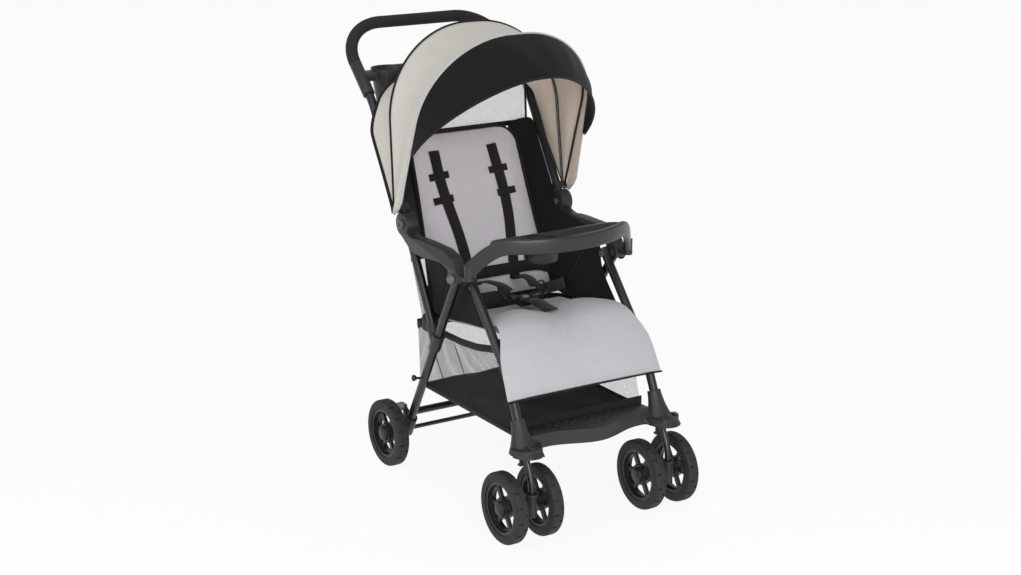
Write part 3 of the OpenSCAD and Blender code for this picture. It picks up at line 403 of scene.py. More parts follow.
@contextmanager
def editing(obj: Object) -> Iterator[bmesh.types.BMesh]:
    """Opens an object's mesh for changes and writes it back."""
    work = bmesh.new()
    work.from_mesh(obj.data)
    yield work
    work.to_mesh(obj.data)
    work.free()


def circle(sides: int) -> Array:
    """Returns evenly spaced angles once round."""
    return np.linspace(0, TURN, sides, endpoint=False)


def mirrored(half: Array, shared: bool = False) -> Array:
    """Adds its mirror image to half of an outline.

    Args:
        half: The points of one half, with x first.
        shared: Whether the last point lies on the middle line and so stays single.

    Returns:
        The points of the whole outline.
    """
    other = half[::-1].copy()
    other[:, 0] *= -1
    return np.concatenate([half, other[1:] if shared else other])


def between(a: Array, b: Array, rows: int) -> tuple[Array, Array]:
    """Spans two rows of points evenly.

    Args:
        a: The first row.
        b: The last row.
        rows: How many rows there are in all.

    Returns:
        The grid of points, and each row's share of the way as a column.
    """
    t = np.linspace(0, 1, rows)[:, None]
    return a[None] * (1 - t[:, :, None]) + b[None] * t[:, :, None], t


class Maker:
    """Makes plain meshes from grids and paths of points in the row frame."""

    @staticmethod
    def mesh(name: str, points: Array, faces: Sequence[Sequence[int]],
             uvs: Array | None = None) -> Object:
        """Makes an object.

        Args:
            name: The object's name.
            points: One row of x, y, z for each vertex.
            faces: Vertex numbers of each face.
            uvs: One u, v for each vertex, in metres.

        Returns:
            The new object, smooth shaded.
        """
        data = bpy.data.meshes.new(name)
        data.from_pydata([tuple(map(float, p)) for p in points], [], [tuple(f) for f in faces])
        if uvs is not None:
            layer = data.uv_layers.new(name="UVMap")
            for loop in data.loops:
                layer.data[loop.index].uv = uvs[loop.vertex_index]
        data.validate()
        data.shade_smooth()
        return link_new(name, data)

    @staticmethod
    def quads(rows: int, cols: int, wrap: bool, closed: bool) -> list[tuple[int, ...]]:
        """Numbers the faces of a grid.

        Args:
            rows: How many rows of points it has.
            cols: How many points each row has.
            wrap: Whether the last column meets the first.
            closed: Whether the last row meets the first.

        Returns:
            The vertex numbers of each face.
        """
        faces = []
        for i in range(rows if closed else rows - 1):
            here, there = i * cols, (i + 1) % rows * cols
            for j in range(cols if wrap else cols - 1):
                beside = (j + 1) % cols
                faces.append((here + j, here + beside, there + beside, there + j))
        return faces

    @staticmethod
    def flat_uv(points: Array) -> Array:
        """Lays a grid of points out flat.

        Args:
            points: A rows by columns by 3 array.

        Returns:
            A rows by columns by 2 array in metres, by mean length along each way.
        """
        rows, cols = points.shape[:2]
        along = np.linalg.norm(np.diff(points, axis=0), axis=2).mean(1) if rows > 1 else np.zeros(0)
        across = np.linalg.norm(np.diff(points, axis=1), axis=2).mean(0) if cols > 1 else np.zeros(0)
        v = np.concatenate([[0.0], np.cumsum(along)])
        u = np.concatenate([[0.0], np.cumsum(across)])
        return np.stack(np.meshgrid(u, v), axis=-1)

    @classmethod
    def grid(cls, name: str, points: Array, wrap: bool = False, closed: bool = False,
             ends: bool = False) -> Object:
        """Makes a sheet or a tube from a grid of points.

        Args:
            name: The object's name.
            points: A rows by columns by 3 array.
            wrap: Whether the last column meets the first.
            closed: Whether the last row meets the first.
            ends: Whether the first and the last row are filled.

        Returns:
            The new object.
        """
        rows, cols = points.shape[:2]
        faces = cls.quads(rows, cols, wrap, closed)
        if ends:
            faces += [tuple(reversed(range(cols))), tuple(range((rows - 1) * cols, rows * cols))]
        return cls.mesh(name, points.reshape(-1, 3), faces, cls.flat_uv(points).reshape(-1, 2))

    @staticmethod
    def frames(path: Array, closed: bool = False) -> tuple[Array, Array, Array]:
        """Finds turning-free axes along a path.

        Args:
            path: The points of the path.
            closed: Whether it runs back to its start.

        Returns:
            The tangents and the two cross axes at each point.
        """
        step = np.roll(path, -1, 0) - np.roll(path, 1, 0) if closed else np.gradient(path, axis=0)
        tangent = step / np.linalg.norm(step, axis=1, keepdims=True)
        seed = np.array([1.0, 0.0, 0.0]) if abs(tangent[0][0]) < 0.8 else np.array([0.0, 0.0, 1.0])
        side = []
        for t in tangent:
            seed = seed - t * (seed @ t)
            seed = seed / np.linalg.norm(seed)
            side.append(seed)
        side = np.array(side)
        return tangent, side, np.cross(tangent, side)

    @classmethod
    def tube(cls, name: str, path: Array, radius: float, sides: int = 10,
             closed: bool = False) -> Object:
        """Makes a round tube along a path, closed at its ends.

        Args:
            name: The object's name.
            path: The points of its middle line.
            radius: Its radius.
            sides: How many sides it has.
            closed: Whether it runs back to its start.

        Returns:
            The new object.
        """
        _, a, b = cls.frames(path, closed)
        turn = circle(sides)[None, :, None]
        ring = path[:, None] + radius * (np.cos(turn) * a[:, None] + np.sin(turn) * b[:, None])
        return cls.grid(name, ring, wrap=True, closed=closed, ends=not closed)

    @classmethod
    def ribbon(cls, name: str, path: Array, across: Array, width: float,
               thick: float) -> Object:
        """Makes a flat strap with rounded edges along a path.

        Args:
            name: The object's name.
            path: The points of its middle line.
            across: The direction of its width at each point, or one for all.
            width: Its width.
            thick: Its thickness.

        Returns:
            The new object.
        """
        tangent = cls.frames(path)[0]
        across = np.broadcast_to(across, path.shape).astype(float)
        across = across - tangent * (across * tangent).sum(1, keepdims=True)
        across = across / np.linalg.norm(across, axis=1, keepdims=True)
        out = np.cross(tangent, across)
        w, t = width / 2, thick / 2
        profile = [(-w, 0), (-w + t, -t), (w - t, -t), (w, 0), (w - t, t), (-w + t, t)]
        ring = np.stack([path + x * across + y * out for x, y in profile], 1)
        return cls.grid(name, ring, wrap=True, ends=True)

    @classmethod
    def turned(cls, name: str, at: Sequence[float], along: Sequence[float],
               profile: Sequence[tuple[float, float]], sides: int = 24) -> Object:
        """Turns a profile round an axis.

        Args:
            name: The object's name.
            at: Where the axis starts.
            along: The direction of the axis.
            profile: Radius and height of each ring, from the foot up.
            sides: How many sides it has.

        Returns:
            The new object, closed at both ends.
        """
        way = np.asarray(along, float) / np.linalg.norm(along)
        a = np.cross(way, UPWARD if abs(way[2]) < 0.8 else ACROSS)
        a /= np.linalg.norm(a)
        b = np.cross(way, a)
        turn = circle(sides)[:, None]
        round_ = np.cos(turn) * a + np.sin(turn) * b
        ring = np.stack([np.asarray(at) + h * way + r * round_ for r, h in profile])
        return cls.outward(cls.cap(cls.grid(name, ring, wrap=True), sides))

    @staticmethod
    def cap(obj: Object, sides: int) -> Object:
        """Closes both ends of a mesh made of rings.

        Args:
            obj: The mesh.
            sides: How many points each ring has.

        Returns:
            The same object.
        """
        with editing(obj) as work:
            work.verts.ensure_lookup_table()
            count = len(work.verts)
            for ring in (range(sides), range(count - sides, count)):
                work.faces.new([work.verts[i] for i in ring]).smooth = True
            bmesh.ops.remove_doubles(work, verts=work.verts, dist=1e-6)
        return obj

    @staticmethod
    def outward(obj: Object) -> Object:
        """Turns the faces of a closed mesh outwards."""
        with editing(obj) as work:
            bmesh.ops.remove_doubles(work, verts=work.verts, dist=1e-6)
            bmesh.ops.recalc_face_normals(work, faces=work.faces)
        return obj

    @staticmethod
    def bake(obj: Object) -> Object:
        """Turns the modifiers of an object into its plain mesh."""
        graph = bpy.context.evaluated_depsgraph_get()
        shaped = obj.evaluated_get(graph)
        data = bpy.data.meshes.new_from_object(shaped, preserve_all_data_layers=True, depsgraph=graph)
        obj.modifiers.clear()
        obj.data = data
        return obj

    @classmethod
    def thicken(cls, obj: Object, thick: float, lined: bool = False) -> Object:
        """Gives a sheet its thickness.

        Args:
            obj: The sheet.
            thick: Its thickness.
            lined: Whether its inner side takes the second material.

        Returns:
            The same object.
        """
        wall = obj.modifiers.new("wall", "SOLIDIFY")
        wall.thickness = thick
        wall.offset = 0.0
        if lined:
            wall.material_offset = 1
        return cls.bake(obj)

    @classmethod
    def round_off(cls, obj: Object, levels: int = 1) -> Object:
        """Smooths a mesh by subdivision."""
        smooth = obj.modifiers.new("smooth", "SUBSURF")
        smooth.levels = smooth.render_levels = levels
        return cls.bake(obj)

    @staticmethod
    def join(name: str, parts: Sequence[Object]) -> Object:
        """Joins meshes into one object, materials kept.

        Args:
            name: The joined object's name.
            parts: The meshes, which are used up.

        Returns:
            The joined object.
        """
        with bpy.context.temp_override(active_object=parts[0], selected_editable_objects=list(parts)):
            bpy.ops.object.join()
        parts[0].name = parts[0].data.name = name
        return parts[0]


class Piece:
    """Dresses a finished mesh and ties it to the frame."""

    @staticmethod
    def dress(obj: Object, *finishes: Material) -> Object:
        """Gives an object its finishes, in order of its material slots."""
        obj.data.materials.clear()
        for finish in finishes:
            obj.data.materials.append(finish)
        return obj

    @classmethod
    def group(cls, name: str, parts: Sequence[Object], finish: Material) -> Object:
        """Joins parts of one finish into one mesh with its faces outwards."""
        return Maker.outward(Maker.join(name, [cls.dress(part, finish) for part in parts]))

    @staticmethod
    def mark(obj: Object, slot: str, replaces: Sequence[str]) -> None:
        """Hides the CAD nodes that an object stands for."""
        if replaces:
            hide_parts(*replaces)

    @classmethod
    def settle(cls, obj: Object, body: Body | str, slot: str,
               replaces: Sequence[str] = ()) -> Object:
        """Ties an object to a body.

        Args:
            obj: The finished mesh.
            body: The body that it rides on, or that body's name.
            slot: The record's material slot for its finish; not used.
            replaces: The CAD nodes that it stands for.

        Returns:
            The same object.
        """
        name = body.value if isinstance(body, Body) else body
        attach(obj, name)
        cls.mark(obj, slot, replaces)
        LOG.info("%s rides on %s", obj.name, name)
        return obj

    @classmethod
    def bend(cls, obj: Object, bodies: tuple[Body, Body], start: Sequence[float], end: Sequence[float],
             slot: str, replaces: Sequence[str] = ()) -> Object:
        """Bakes a cloth that crosses a joint into place and hides the CAD nodes that it stands for; it is
        tied to neither body.

        Args:
            obj: The finished mesh.
            bodies: The two bodies that the cloth spans, named in the log.
            start: Where it would stop following only the first; not used.
            end: Where it would follow only the last; not used.
            slot: The record's material slot for its finish; not used.
            replaces: The CAD nodes that it stands for.

        Returns:
            The same object.
        """
        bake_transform(obj)
        cls.mark(obj, slot, replaces)
        LOG.info("%s bends between %s and %s", obj.name, bodies[0].value, bodies[1].value)
        return obj


class Padding:
    """Fills a closed cloth with foam by a short cloth simulation."""

    frames = 20
    pressure = 4.0
    limit = 0.004

    @classmethod
    def inflate(cls, obj: Object, held: Iterable[int]) -> Object:
        """Presses a closed mesh outwards and keeps what it comes to.

        Args:
            obj: The closed mesh.
            held: Numbers of the vertices that stay where they are.

        Returns:
            The same object, with its new shape.
        """
        rest = np.array([v.co for v in obj.data.vertices])
        group = obj.vertex_groups.new(name="seam")
        group.add(list(held), 1.0, "REPLACE")
        cloth = obj.modifiers.new("padding", "CLOTH")
        cloth.settings.quality = 5
        cloth.settings.mass = 0.25
        cloth.settings.tension_stiffness = cloth.settings.compression_stiffness = 12.0
        cloth.settings.shear_stiffness = 6.0
        cloth.settings.bending_stiffness = 0.6
        cloth.settings.vertex_group_mass = "seam"
        cloth.settings.use_pressure = True
        cloth.settings.uniform_pressure_force = cls.pressure
        cloth.settings.effector_weights.gravity = 0.0
        cloth.collision_settings.use_collision = False
        cloth.point_cache.frame_start, cloth.point_cache.frame_end = 1, cls.frames
        scene = bpy.context.scene
        for frame in range(1, cls.frames + 1):
            scene.frame_set(frame)
        graph = bpy.context.evaluated_depsgraph_get()
        moved = np.array([v.co for v in obj.evaluated_get(graph).data.vertices])
        obj.modifiers.clear()
        obj.vertex_groups.clear()
        scene.frame_set(1)
        shift = moved - rest
        length = np.linalg.norm(shift, axis=1, keepdims=True)
        shift *= np.minimum(1.0, cls.limit / np.maximum(length, 1e-9))
        obj.data.vertices.foreach_set("co", (rest + shift).astype(np.float32).ravel())
        obj.data.update()
        return obj

    @staticmethod
    def pillow(name: str, top: Array, bottom: Array) -> tuple[Object, list[int]]:
        """Closes two grids that share their outline into one mesh.

        Args:
            name: The object's name.
            top: The outer grid.
            bottom: The inner grid, whose outline is the outer grid's.

        Returns:
            The object, and the numbers of its outline's vertices.
        """
        rows, cols = top.shape[:2]
        number = np.arange(rows * cols).reshape(rows, cols)
        below = number.copy()
        below[1:-1, 1:-1] = rows * cols + np.arange((rows - 2) * (cols - 2)).reshape(rows - 2, cols - 2)
        points = np.concatenate([top.reshape(-1, 3), bottom[1:-1, 1:-1].reshape(-1, 3)])
        flat = Maker.flat_uv(top)
        uvs = np.concatenate([flat.reshape(-1, 2), flat[1:-1, 1:-1].reshape(-1, 2)])
        faces = []
        for i in range(rows - 1):
            for j in range(cols - 1):
                faces.append((number[i, j], number[i, j + 1], number[i + 1, j + 1], number[i + 1, j]))
                faces.append((below[i, j], below[i + 1, j], below[i + 1, j + 1], below[i, j + 1]))
        outline = set(number[0]) | set(number[-1]) | set(number[:, 0]) | set(number[:, -1])
        return Maker.outward(Maker.mesh(name, points, faces, uvs)), [int(v) for v in outline]

    @classmethod
    def cushion(cls, name: str, top: Array, bottom: Array,
                cloth: Material) -> Object:
        """Makes a filled cushion whose seam and underside stay where they are.

        Args:
            name: The object's name.
            top: The outer grid.
            bottom: The inner grid, whose outline is the outer grid's.
            cloth: The finish of its cloth.

        Returns:
            The finished cushion.
        """
        obj, outline = cls.pillow(name, top, bottom)
        under = range(top.shape[0] * top.shape[1], len(obj.data.vertices))
        cls.inflate(obj, [*outline, *under])
        return Maker.round_off(Piece.dress(obj, cloth))

    @staticmethod
    def rounding(near: Array, reach: float = 0.02) -> Array:
        """Rises as a quarter circle from 0 at a cushion's edge to 1 at a distance from it."""
        return np.sqrt(1 - (1 - np.clip(near / reach, 0, 1)) ** 2)

    @staticmethod
    def dome(u: Array, v: Array) -> Array:
        """Rises from 0 at a cushion's edges to 1 in its middle, for u and v from -1 to 1."""
        return np.sqrt(np.clip((1 - u * u) * (1 - v * v), 0, 1))


class Stitching:
    """A row of stitches along a path, made with Geometry Nodes."""

    def __init__(self) -> None:
        """Builds the node tree once."""
        tree = bpy.data.node_groups.new("stitch_row", "GeometryNodeTree")
        face = tree.interface
        face.new_socket("Path", in_out="INPUT", socket_type="NodeSocketGeometry")
        self.ids = {}
        kinds = {"Pitch": "Float", "Length": "Float", "Radius": "Float", "Thread": "Material"}
        for name, kind in kinds.items():
            socket = face.new_socket(name, in_out="INPUT", socket_type="NodeSocket" + kind)
            self.ids[name] = socket.identifier
        face.new_socket("Stitches", in_out="OUTPUT", socket_type="NodeSocketGeometry")
        new, link = tree.nodes.new, tree.links.new
        start, end = new("NodeGroupInput"), new("NodeGroupOutput")
        curve = new("GeometryNodeMeshToCurve")
        spots = new("GeometryNodeCurveToPoints")
        spots.mode = "LENGTH"
        thread = new("GeometryNodeMeshCylinder")
        thread.inputs["Vertices"].default_value = 5
        placed = new("GeometryNodeInstanceOnPoints")
        real = new("GeometryNodeRealizeInstances")
        paint = new("GeometryNodeSetMaterial")
        link(start.outputs["Path"], curve.inputs[0])
        link(curve.outputs[0], spots.inputs["Curve"])
        link(start.outputs["Pitch"], spots.inputs["Length"])
        link(start.outputs["Length"], thread.inputs["Depth"])
        link(start.outputs["Radius"], thread.inputs["Radius"])
        link(spots.outputs["Points"], placed.inputs["Points"])
        link(spots.outputs["Rotation"], placed.inputs["Rotation"])
        link(thread.outputs["Mesh"], placed.inputs["Instance"])
        link(placed.outputs[0], real.inputs[0])
        link(real.outputs[0], paint.inputs["Geometry"])
        link(start.outputs["Thread"], paint.inputs["Material"])
        link(paint.outputs[0], end.inputs[0])
        self.tree = tree

    def row(self, name: str, path: Array, thread: Material,
            pitch: float = 0.005) -> Object:
        """Makes the stitches along a path.

        Args:
            name: The object's name.
            path: The points of the path, on the cloth's surface.
            thread: The finish of the thread.
            pitch: The distance from stitch to stitch.

        Returns:
            The stitches as one plain mesh.
        """
        data = bpy.data.meshes.new(name)
        data.from_pydata([tuple(map(float, p)) for p in path], [(i, i + 1) for i in range(len(path) - 1)], [])
        obj = link_new(name, data)
        sew = obj.modifiers.new("sew", "NODES")
        sew.node_group = self.tree
        for key, value in (("Pitch", pitch), ("Length", pitch * 0.7), ("Radius", 0.0004), ("Thread", thread)):
            sew[self.ids[key]] = value
        return Maker.bake(obj)


@dataclass(frozen=True)
class Softbox:
    """A square lamp: where it hangs, the length of its side and its power in watts."""

    name: str
    at: Point
    size: float
    watts: float


@dataclass
class Stage:
    """Floor, light and the photograph's camera."""

    place: Point = (-2.0637, -3.2813, 1.5515)
    right: Point = (0.8458, -0.5334, 0.0)
    up: Point = (0.1482, 0.2350, 0.9606)
    back: Point = (-0.5124, -0.8125, 0.2779)
    lens: float = 65.0
    sensor: float = 36.0
    sight: float = 100.0
    floor_half: float = 30.0
    floor_glow: float = 0.90
    ambient: float = 0.56
    sun_at: Point = (-1.6, -1.4, 3.2)
    sun_target: Point = (0.0, 0.0, 0.4)
    sun_power: float = 0.40
    sun_spread: float = 40.0
    box_target: Point = (0.0, 0.0, 0.5)
    boxes: tuple[Softbox, ...] = (
        Softbox("box_left", (-2.4, -0.6, 1.6), 1.4, 12.0), Softbox("box_front", (-0.9, -3.0, 1.2), 1.8, 46.0))

    def build(self) -> None:
        """Builds the stage."""
        self.floor()
        self.light()
        self.camera()

    def floor(self) -> None:
        """Lays a plain pale floor."""
        h = self.floor_half
        corners = np.array([(-h, -h, 0), (h, -h, 0), (h, h, 0), (-h, h, 0)])
        floor = Maker.mesh("floor", corners, [(0, 1, 2, 3)])
        s = Shader("floor_white")
        plain = s.surface({"Base Color": (0.93, 0.93, 0.93), "Roughness": 0.7, "Specular IOR Level": 0.1})
        glow = s.add("Emission", {"Color": (1.0, 1.0, 1.0), "Strength": 1.0}).outputs[0]
        Piece.dress(floor, s.mixed(s.combine("MULTIPLY", self.seen(s), self.floor_glow), plain, glow))

    @staticmethod
    def seen(s: Shader) -> Socket:
        """Returns a value that is 1 for camera, glossy and transmission rays.

        Args:
            s: The shader that gets the nodes.

        Returns:
            The socket with the value.
        """
        path = s.add("LightPath")
        value = path.outputs["Is Camera Ray"]
        for name in ("Is Glossy Ray", "Is Transmission Ray"):
            value = s.combine("MAXIMUM", value, path.outputs[name])
        return value

    def light(self) -> None:
        """Sets soft light all round, a broad key light and two softboxes."""
        world = bpy.data.worlds.new("studio")
        world.use_nodes = True
        world.node_tree.nodes["Background"].inputs[0].default_value = (1.0, 1.0, 1.0, 1.0)
        world.node_tree.nodes["Background"].inputs[1].default_value = self.ambient
        bpy.context.scene.world = world
        sun = bpy.data.lights.new("key", "SUN")
        sun.energy, sun.angle = self.sun_power, math.radians(self.sun_spread)
        self.aim(sun, self.sun_at, self.sun_target)
        for box in self.boxes:
            lamp = bpy.data.lights.new(box.name, "AREA")
            lamp.energy, lamp.size = box.watts, box.size
            self.aim(lamp, box.at, self.box_target)

    @staticmethod
    def aim(lamp: bpy.types.Light, at: Sequence[float], target: Sequence[float]) -> None:
        """Hangs a lamp at a point and turns it to a target."""
        obj = link_new(lamp.name, lamp)
        obj.location = at
        obj.rotation_mode = "QUATERNION"
        obj.rotation_quaternion = (Vector(target) - Vector(at)).to_track_quat("-Z", "Y")

    def camera(self) -> None:
        """Sets the camera where the photograph was taken from."""
        lens = bpy.data.cameras.new("photo_camera")
        lens.lens, lens.sensor_width, lens.clip_end = self.lens, self.sensor, self.sight
        camera = link_new("photo_camera", lens)
        turn = Matrix((self.right, self.up, self.back)).transposed().to_4x4()
        camera.matrix_world = Matrix.Translation(self.place) @ turn
        scene = bpy.context.scene
        scene.camera = camera
        scene.view_settings.view_transform = "Standard"


def both(*stems: str) -> tuple[str, ...]:
    """Returns the names of the left and right nodes of each stem."""
    return tuple(f"{stem}_{side}" for stem in stems for side in SIDES)


def on_wheels(part: str) -> tuple[str, ...]:
    """Returns the names of a part's nodes on all six wheels."""
    fronts = (f"{node}_{row}" for node in both(f"front_{part}") for row in ("outer", "inner"))
    return both(f"rear_{part}") + tuple(fronts)


@dataclass
class HardParts:
    """Finishes for the CAD nodes that are shown as they are, or copied with rounded edges."""

    finishes: dict[str, tuple[str, ...]] = field(default_factory=lambda: {
        "tube_black": (*both("rear_leg", "front_leg"), "lower_push_tubes", "rear_crossbar", "seat_front_bar",
                       "push_handle"),
        "steel": ("recline_rod",),
        "dark_steel": ("rear_axle", *both("front_axle"), "swivel_posts", "canopy_mid_bow",
                       "canopy_front_bow"),
        "cap_grey": ("pivot_bolts", "hinge_bolts"),
        "charcoal": (*both("armrest", "wheel_housing", "caster_fork", "swivel_lock"), "leg_brackets",
                     "footrest", "parent_tray", "canopy_clips"),
        "rim_black": on_wheels("rim"),
        "tyre": on_wheels("tyre"),
        "foam": ("foam_grip",),
        "pedal_grey": (*both("brake_pedal"), "fold_trigger", "buckle_button"),
        "buckle_black": ("buckle", "seat_back_board"),
    })

    def dress(self, nodes: dict[str, Object], finishes: Finishes) -> None:
        """Gives each CAD node its finish.

        Args:
            nodes: The CAD nodes by name.
            finishes: The finishes.
        """
        for finish, names in self.finishes.items():
            for name in names:
                Piece.dress(nodes[name], finishes[finish])
        LOG.info("%d CAD nodes dressed", sum(map(len, self.finishes.values())))


def ease(t: Array) -> Array:
    """Rises smoothly from 0 to 1 as t does, and is level outside that."""
    t = np.clip(t, 0, 1)
    return t * t * (3 - 2 * t)


def squared(c: Array, power: float = 0.45) -> Array:
    """Pushes cosines or sines outwards, so that a circle becomes a rounded square."""
    return np.sign(c) * np.abs(c) ** power


@dataclass(frozen=True)
class Arch:
    """An inverted U in a plane through the canopy's pivot axis."""

    angle: float
    foot: float
    half: float
    height: float
    bend: float
    swell: float = 0.0
    lag: float = 0.0
    drop: float = 0.012
    lag_rise: float = 0.05
    lag_fade: tuple[float, float] = (0.17, 0.235)
    swell_rise: float = 0.03
    drop_rise: float = 0.1
    pivot: tuple[float, float] = (0.1106, 0.6128)

    def points(self, start: float, grow: float = 0.0, legs: int = 14, corner: int = 26) -> Array:
        """Walks over the arch.

        Args:
            start: Radius from the pivot axis at which it starts and ends.
            grow: Distance outside the arch's own line.
            legs: Steps up each leg.
            corner: Steps round each corner.

        Returns:
            The points from the left foot to the right one.
        """
        lean = math.atan((self.foot - self.half) / self.height)
        rise = self.height - self.bend
        slope = (self.half - self.foot) / self.height
        centre = np.array([self.foot + slope * rise - self.bend / math.cos(lean), rise])
        out = np.array([math.cos(lean), math.sin(lean)])
        side = [np.array([self.foot + slope * q, q]) + grow * out
                for q in np.linspace(start, rise, legs, endpoint=False)]
        round_ = [centre + (self.bend + grow) * np.array([math.cos(t), math.sin(t)])
                  for t in np.linspace(lean, math.pi / 2, corner)]
        return self.lift(mirrored(np.array(side + round_)))

    def lift(self, flat: Array) -> Array:
        """Turns sideways and radius values into points in the row frame."""
        q = flat[:, 1]
        fade, end = self.lag_fade
        behind = ease(q / self.lag_rise) * (1 - ease((q - fade) / (end - fade)))
        a = np.radians(self.angle + self.lag * behind)
        belly = np.sqrt(np.clip(q / self.swell_rise, 0, 1)) * np.clip(1 - q / self.height, 0, 1)
        ahead = self.swell * (0.05 + belly)
        hang = self.drop * np.clip(1 - q / self.drop_rise, 0, 1) ** 2
        y = self.pivot[0] - q * np.cos(a) - ahead
        return np.stack([flat[:, 0], y, self.pivot[1] + q * np.sin(a) - hang], 1)


@dataclass
class Canopy:
    """Sun canopy: two cloth panels over bent bows, a black visor, bindings and a net window."""

    rear: Arch = Arch(117.5, 0.2165, 0.206, 0.284, 0.110, lag=8.0)
    mid: Arch = Arch(96.0, 0.215, 0.206, 0.379, 0.196)
    front: Arch = Arch(69.0, 0.2206, 0.203, 0.400, 0.196, swell=0.03)
    start: float = 0.002
    lift: float = 0.0038
    thick: float = 0.0014
    sag: float = 0.010
    taut: float = 0.12
    fold: tuple[float, float] = (0.0016, 41.0)
    crease: tuple[float, float] = (0.001, 87.0)
    visor_start: float = 0.140
    visor_out: float = 0.242
    visor_half: float = 0.186
    visor_angle: float = 44.0
    rows: int = 22
    flap_side: float = 0.775
    flap_top: float = 0.190
    flap_half: float = 0.186
    flap_foot: tuple[float, float] = (0.2195, 0.745)
    flap_belly: float = 0.006
    hem_radius: float = 0.0026

    def loft(self, a: Array, b: Array, sag: float, seed: float) -> Array:
        """Spans cloth between two arches.

        Args:
            a: Points of the first arch.
            b: Points of the second.
            sag: How far the cloth draws in between them.
            seed: Phase of its soft folds.

        Returns:
            A grid of points.
        """
        grid, t = between(a, b, self.rows)
        along = np.linspace(0, 1, len(a))[None]
        inward = np.array([0.0, *self.front.pivot]) - grid
        inward /= np.linalg.norm(inward, axis=2, keepdims=True)
        hollow = np.sin(math.pi * t) * np.minimum(1.0, np.linalg.norm(b - a, axis=1) / self.taut)[None]
        ripple = self.fold[0] * np.sin(along * self.fold[1] + seed)
        ripple = ripple + self.crease[0] * np.sin(along * self.crease[1] + 2 * seed + 3 * t)
        return grid + inward * (hollow * (sag + ripple))[:, :, None]

    def visor_rim(self, count: int) -> Array:
        """Returns the points of the visor's front edge."""
        _, y0, z0 = self.front.lift(np.array([[0.0, self.visor_start]]))[0] - [0.0, 0.010, 0.0]
        t = np.linspace(0, math.pi, count)
        v = math.radians(self.visor_angle)
        out = (self.visor_out + self.lift) * np.sin(t)
        leg = self.front.foot + (self.front.half - self.front.foot) * self.visor_start / self.front.height
        half = self.visor_half + (leg - self.visor_half) * np.abs(np.cos(t)) ** 3 + self.lift
        return np.stack([half * np.cos(t), y0 - out * math.cos(v), z0 + out * math.sin(v)], 1)

    def front_grid(self) -> Array:
        """Spans the front panel over its bow and on to the hem, which hangs forward of it."""
        bow = replace(self.front, swell=0.0)
        mid, bow, hem = (arch.points(self.start, self.lift) for arch in (self.mid, bow, self.front))
        return np.concatenate([self.loft(mid, bow, self.sag, 1.7), self.loft(bow, hem, 0.0, 0.0)[3::3]])

    def build(self, finishes: Finishes) -> None:
        """Builds and dresses the canopy."""
        grow = self.lift
        rear, mid = (arch.points(self.start, grow) for arch in (self.rear, self.mid))
        self.panel("canopy_rear_cloth", self.loft(rear, mid, self.sag, 0.3), finishes,
                   (Body.HANDLE, Body.CANOPY_MID), self.rear, self.mid, "canopy_rear_panel")
        self.panel("canopy_front_cloth", self.front_grid(), finishes,
                   (Body.CANOPY_MID, Body.CANOPY_FRONT), self.mid, self.front, "canopy_front_panel")
        base = self.front.points(self.visor_start, grow)
        shade_grid = self.loft(base, self.visor_rim(len(base)), -0.006, 0.9)
        visor = Maker.grid("visor_cloth", shade_grid)
        Maker.thicken(Piece.dress(visor, finishes["black_cloth"]), self.thick)
        Piece.settle(visor, Body.CANOPY_FRONT, "black_fabric", ["canopy_visor"])
        self.bindings(finishes)
        self.window(finishes)

    def window(self, finishes: Finishes) -> None:
        """Builds the net flap that hangs from the rear hem down to the top of the seat back."""
        arch = self.rear.points(self.start, self.lift)
        top = arch[(arch[:, 2] > self.flap_side) & (np.abs(arch[:, 0]) < self.flap_top)]
        top = top[np.argsort(top[:, 0])]
        u = np.linspace(-1, 1, 48)
        x = u * top[:, 0].max()
        high = np.stack([x] + [np.interp(x, top[:, 0], top[:, k]) for k in (1, 2)], 1)
        low = np.column_stack([u * self.flap_half, np.tile(self.flap_foot, (len(u), 1))])
        grid, t = between(high, low, 20)
        grid[:, :, 1] += self.flap_belly * np.sin(math.pi * t) * (1 - u**2)[None]
        net = Piece.dress(Maker.grid("canopy_window", grid), finishes["window_net"])
        self.hang(net, "basket_mesh")
        parts = [Maker.ribbon("flap_hem", low, np.array([0.0, 0.3, 1.0]), 0.012, 0.002)]
        parts += [Maker.tube("flap_side", grid[:, k], self.hem_radius) for k in (0, -1)]
        self.hang(Piece.group("canopy_window_hem", parts, finishes["piping"]), "black_fabric")

    @staticmethod
    def hang(obj: Object, slot: str) -> None:
        """Lets a piece of the net flap ride on the handle, with a mesh of its own."""
        Piece.settle(obj, Body.HANDLE, slot)
        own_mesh(obj)

    def panel(self, name: str, grid: Array, finishes: Finishes, bodies: tuple[Body, Body],
              first: Arch, last: Arch, node: str) -> None:
        """Builds one lined panel between two arches.

        Args:
            name: The panel's name.
            grid: The points of its middle surface.
            finishes: The finishes.
            bodies: The bodies at its first and last arch.
            first: The arch that it starts from.
            last: The arch that it ends at.
            node: The CAD node that it stands for.
        """
        cloth = Maker.grid(name, grid)
        Piece.dress(cloth, finishes["canopy_cloth"], finishes["lining_painted_glow"])
        self.face_out(cloth)
        Maker.thicken(cloth, self.thick, lined=True)
        top = [arch.lift(np.array([[0.0, arch.height]]))[0] for arch in (first, last)]
        Piece.bend(cloth, bodies, tuple(top[0]), tuple(top[1]), "canopy_pale", [node])

    def face_out(self, cloth: Object) -> None:
        """Turns the faces of a panel away from the child."""
        centre = Vector((0.0, *self.front.pivot))
        face = cloth.data.polygons[len(cloth.data.polygons) // 2]
        if face.normal.dot(face.center - centre) < 0:
            cloth.data.flip_normals()

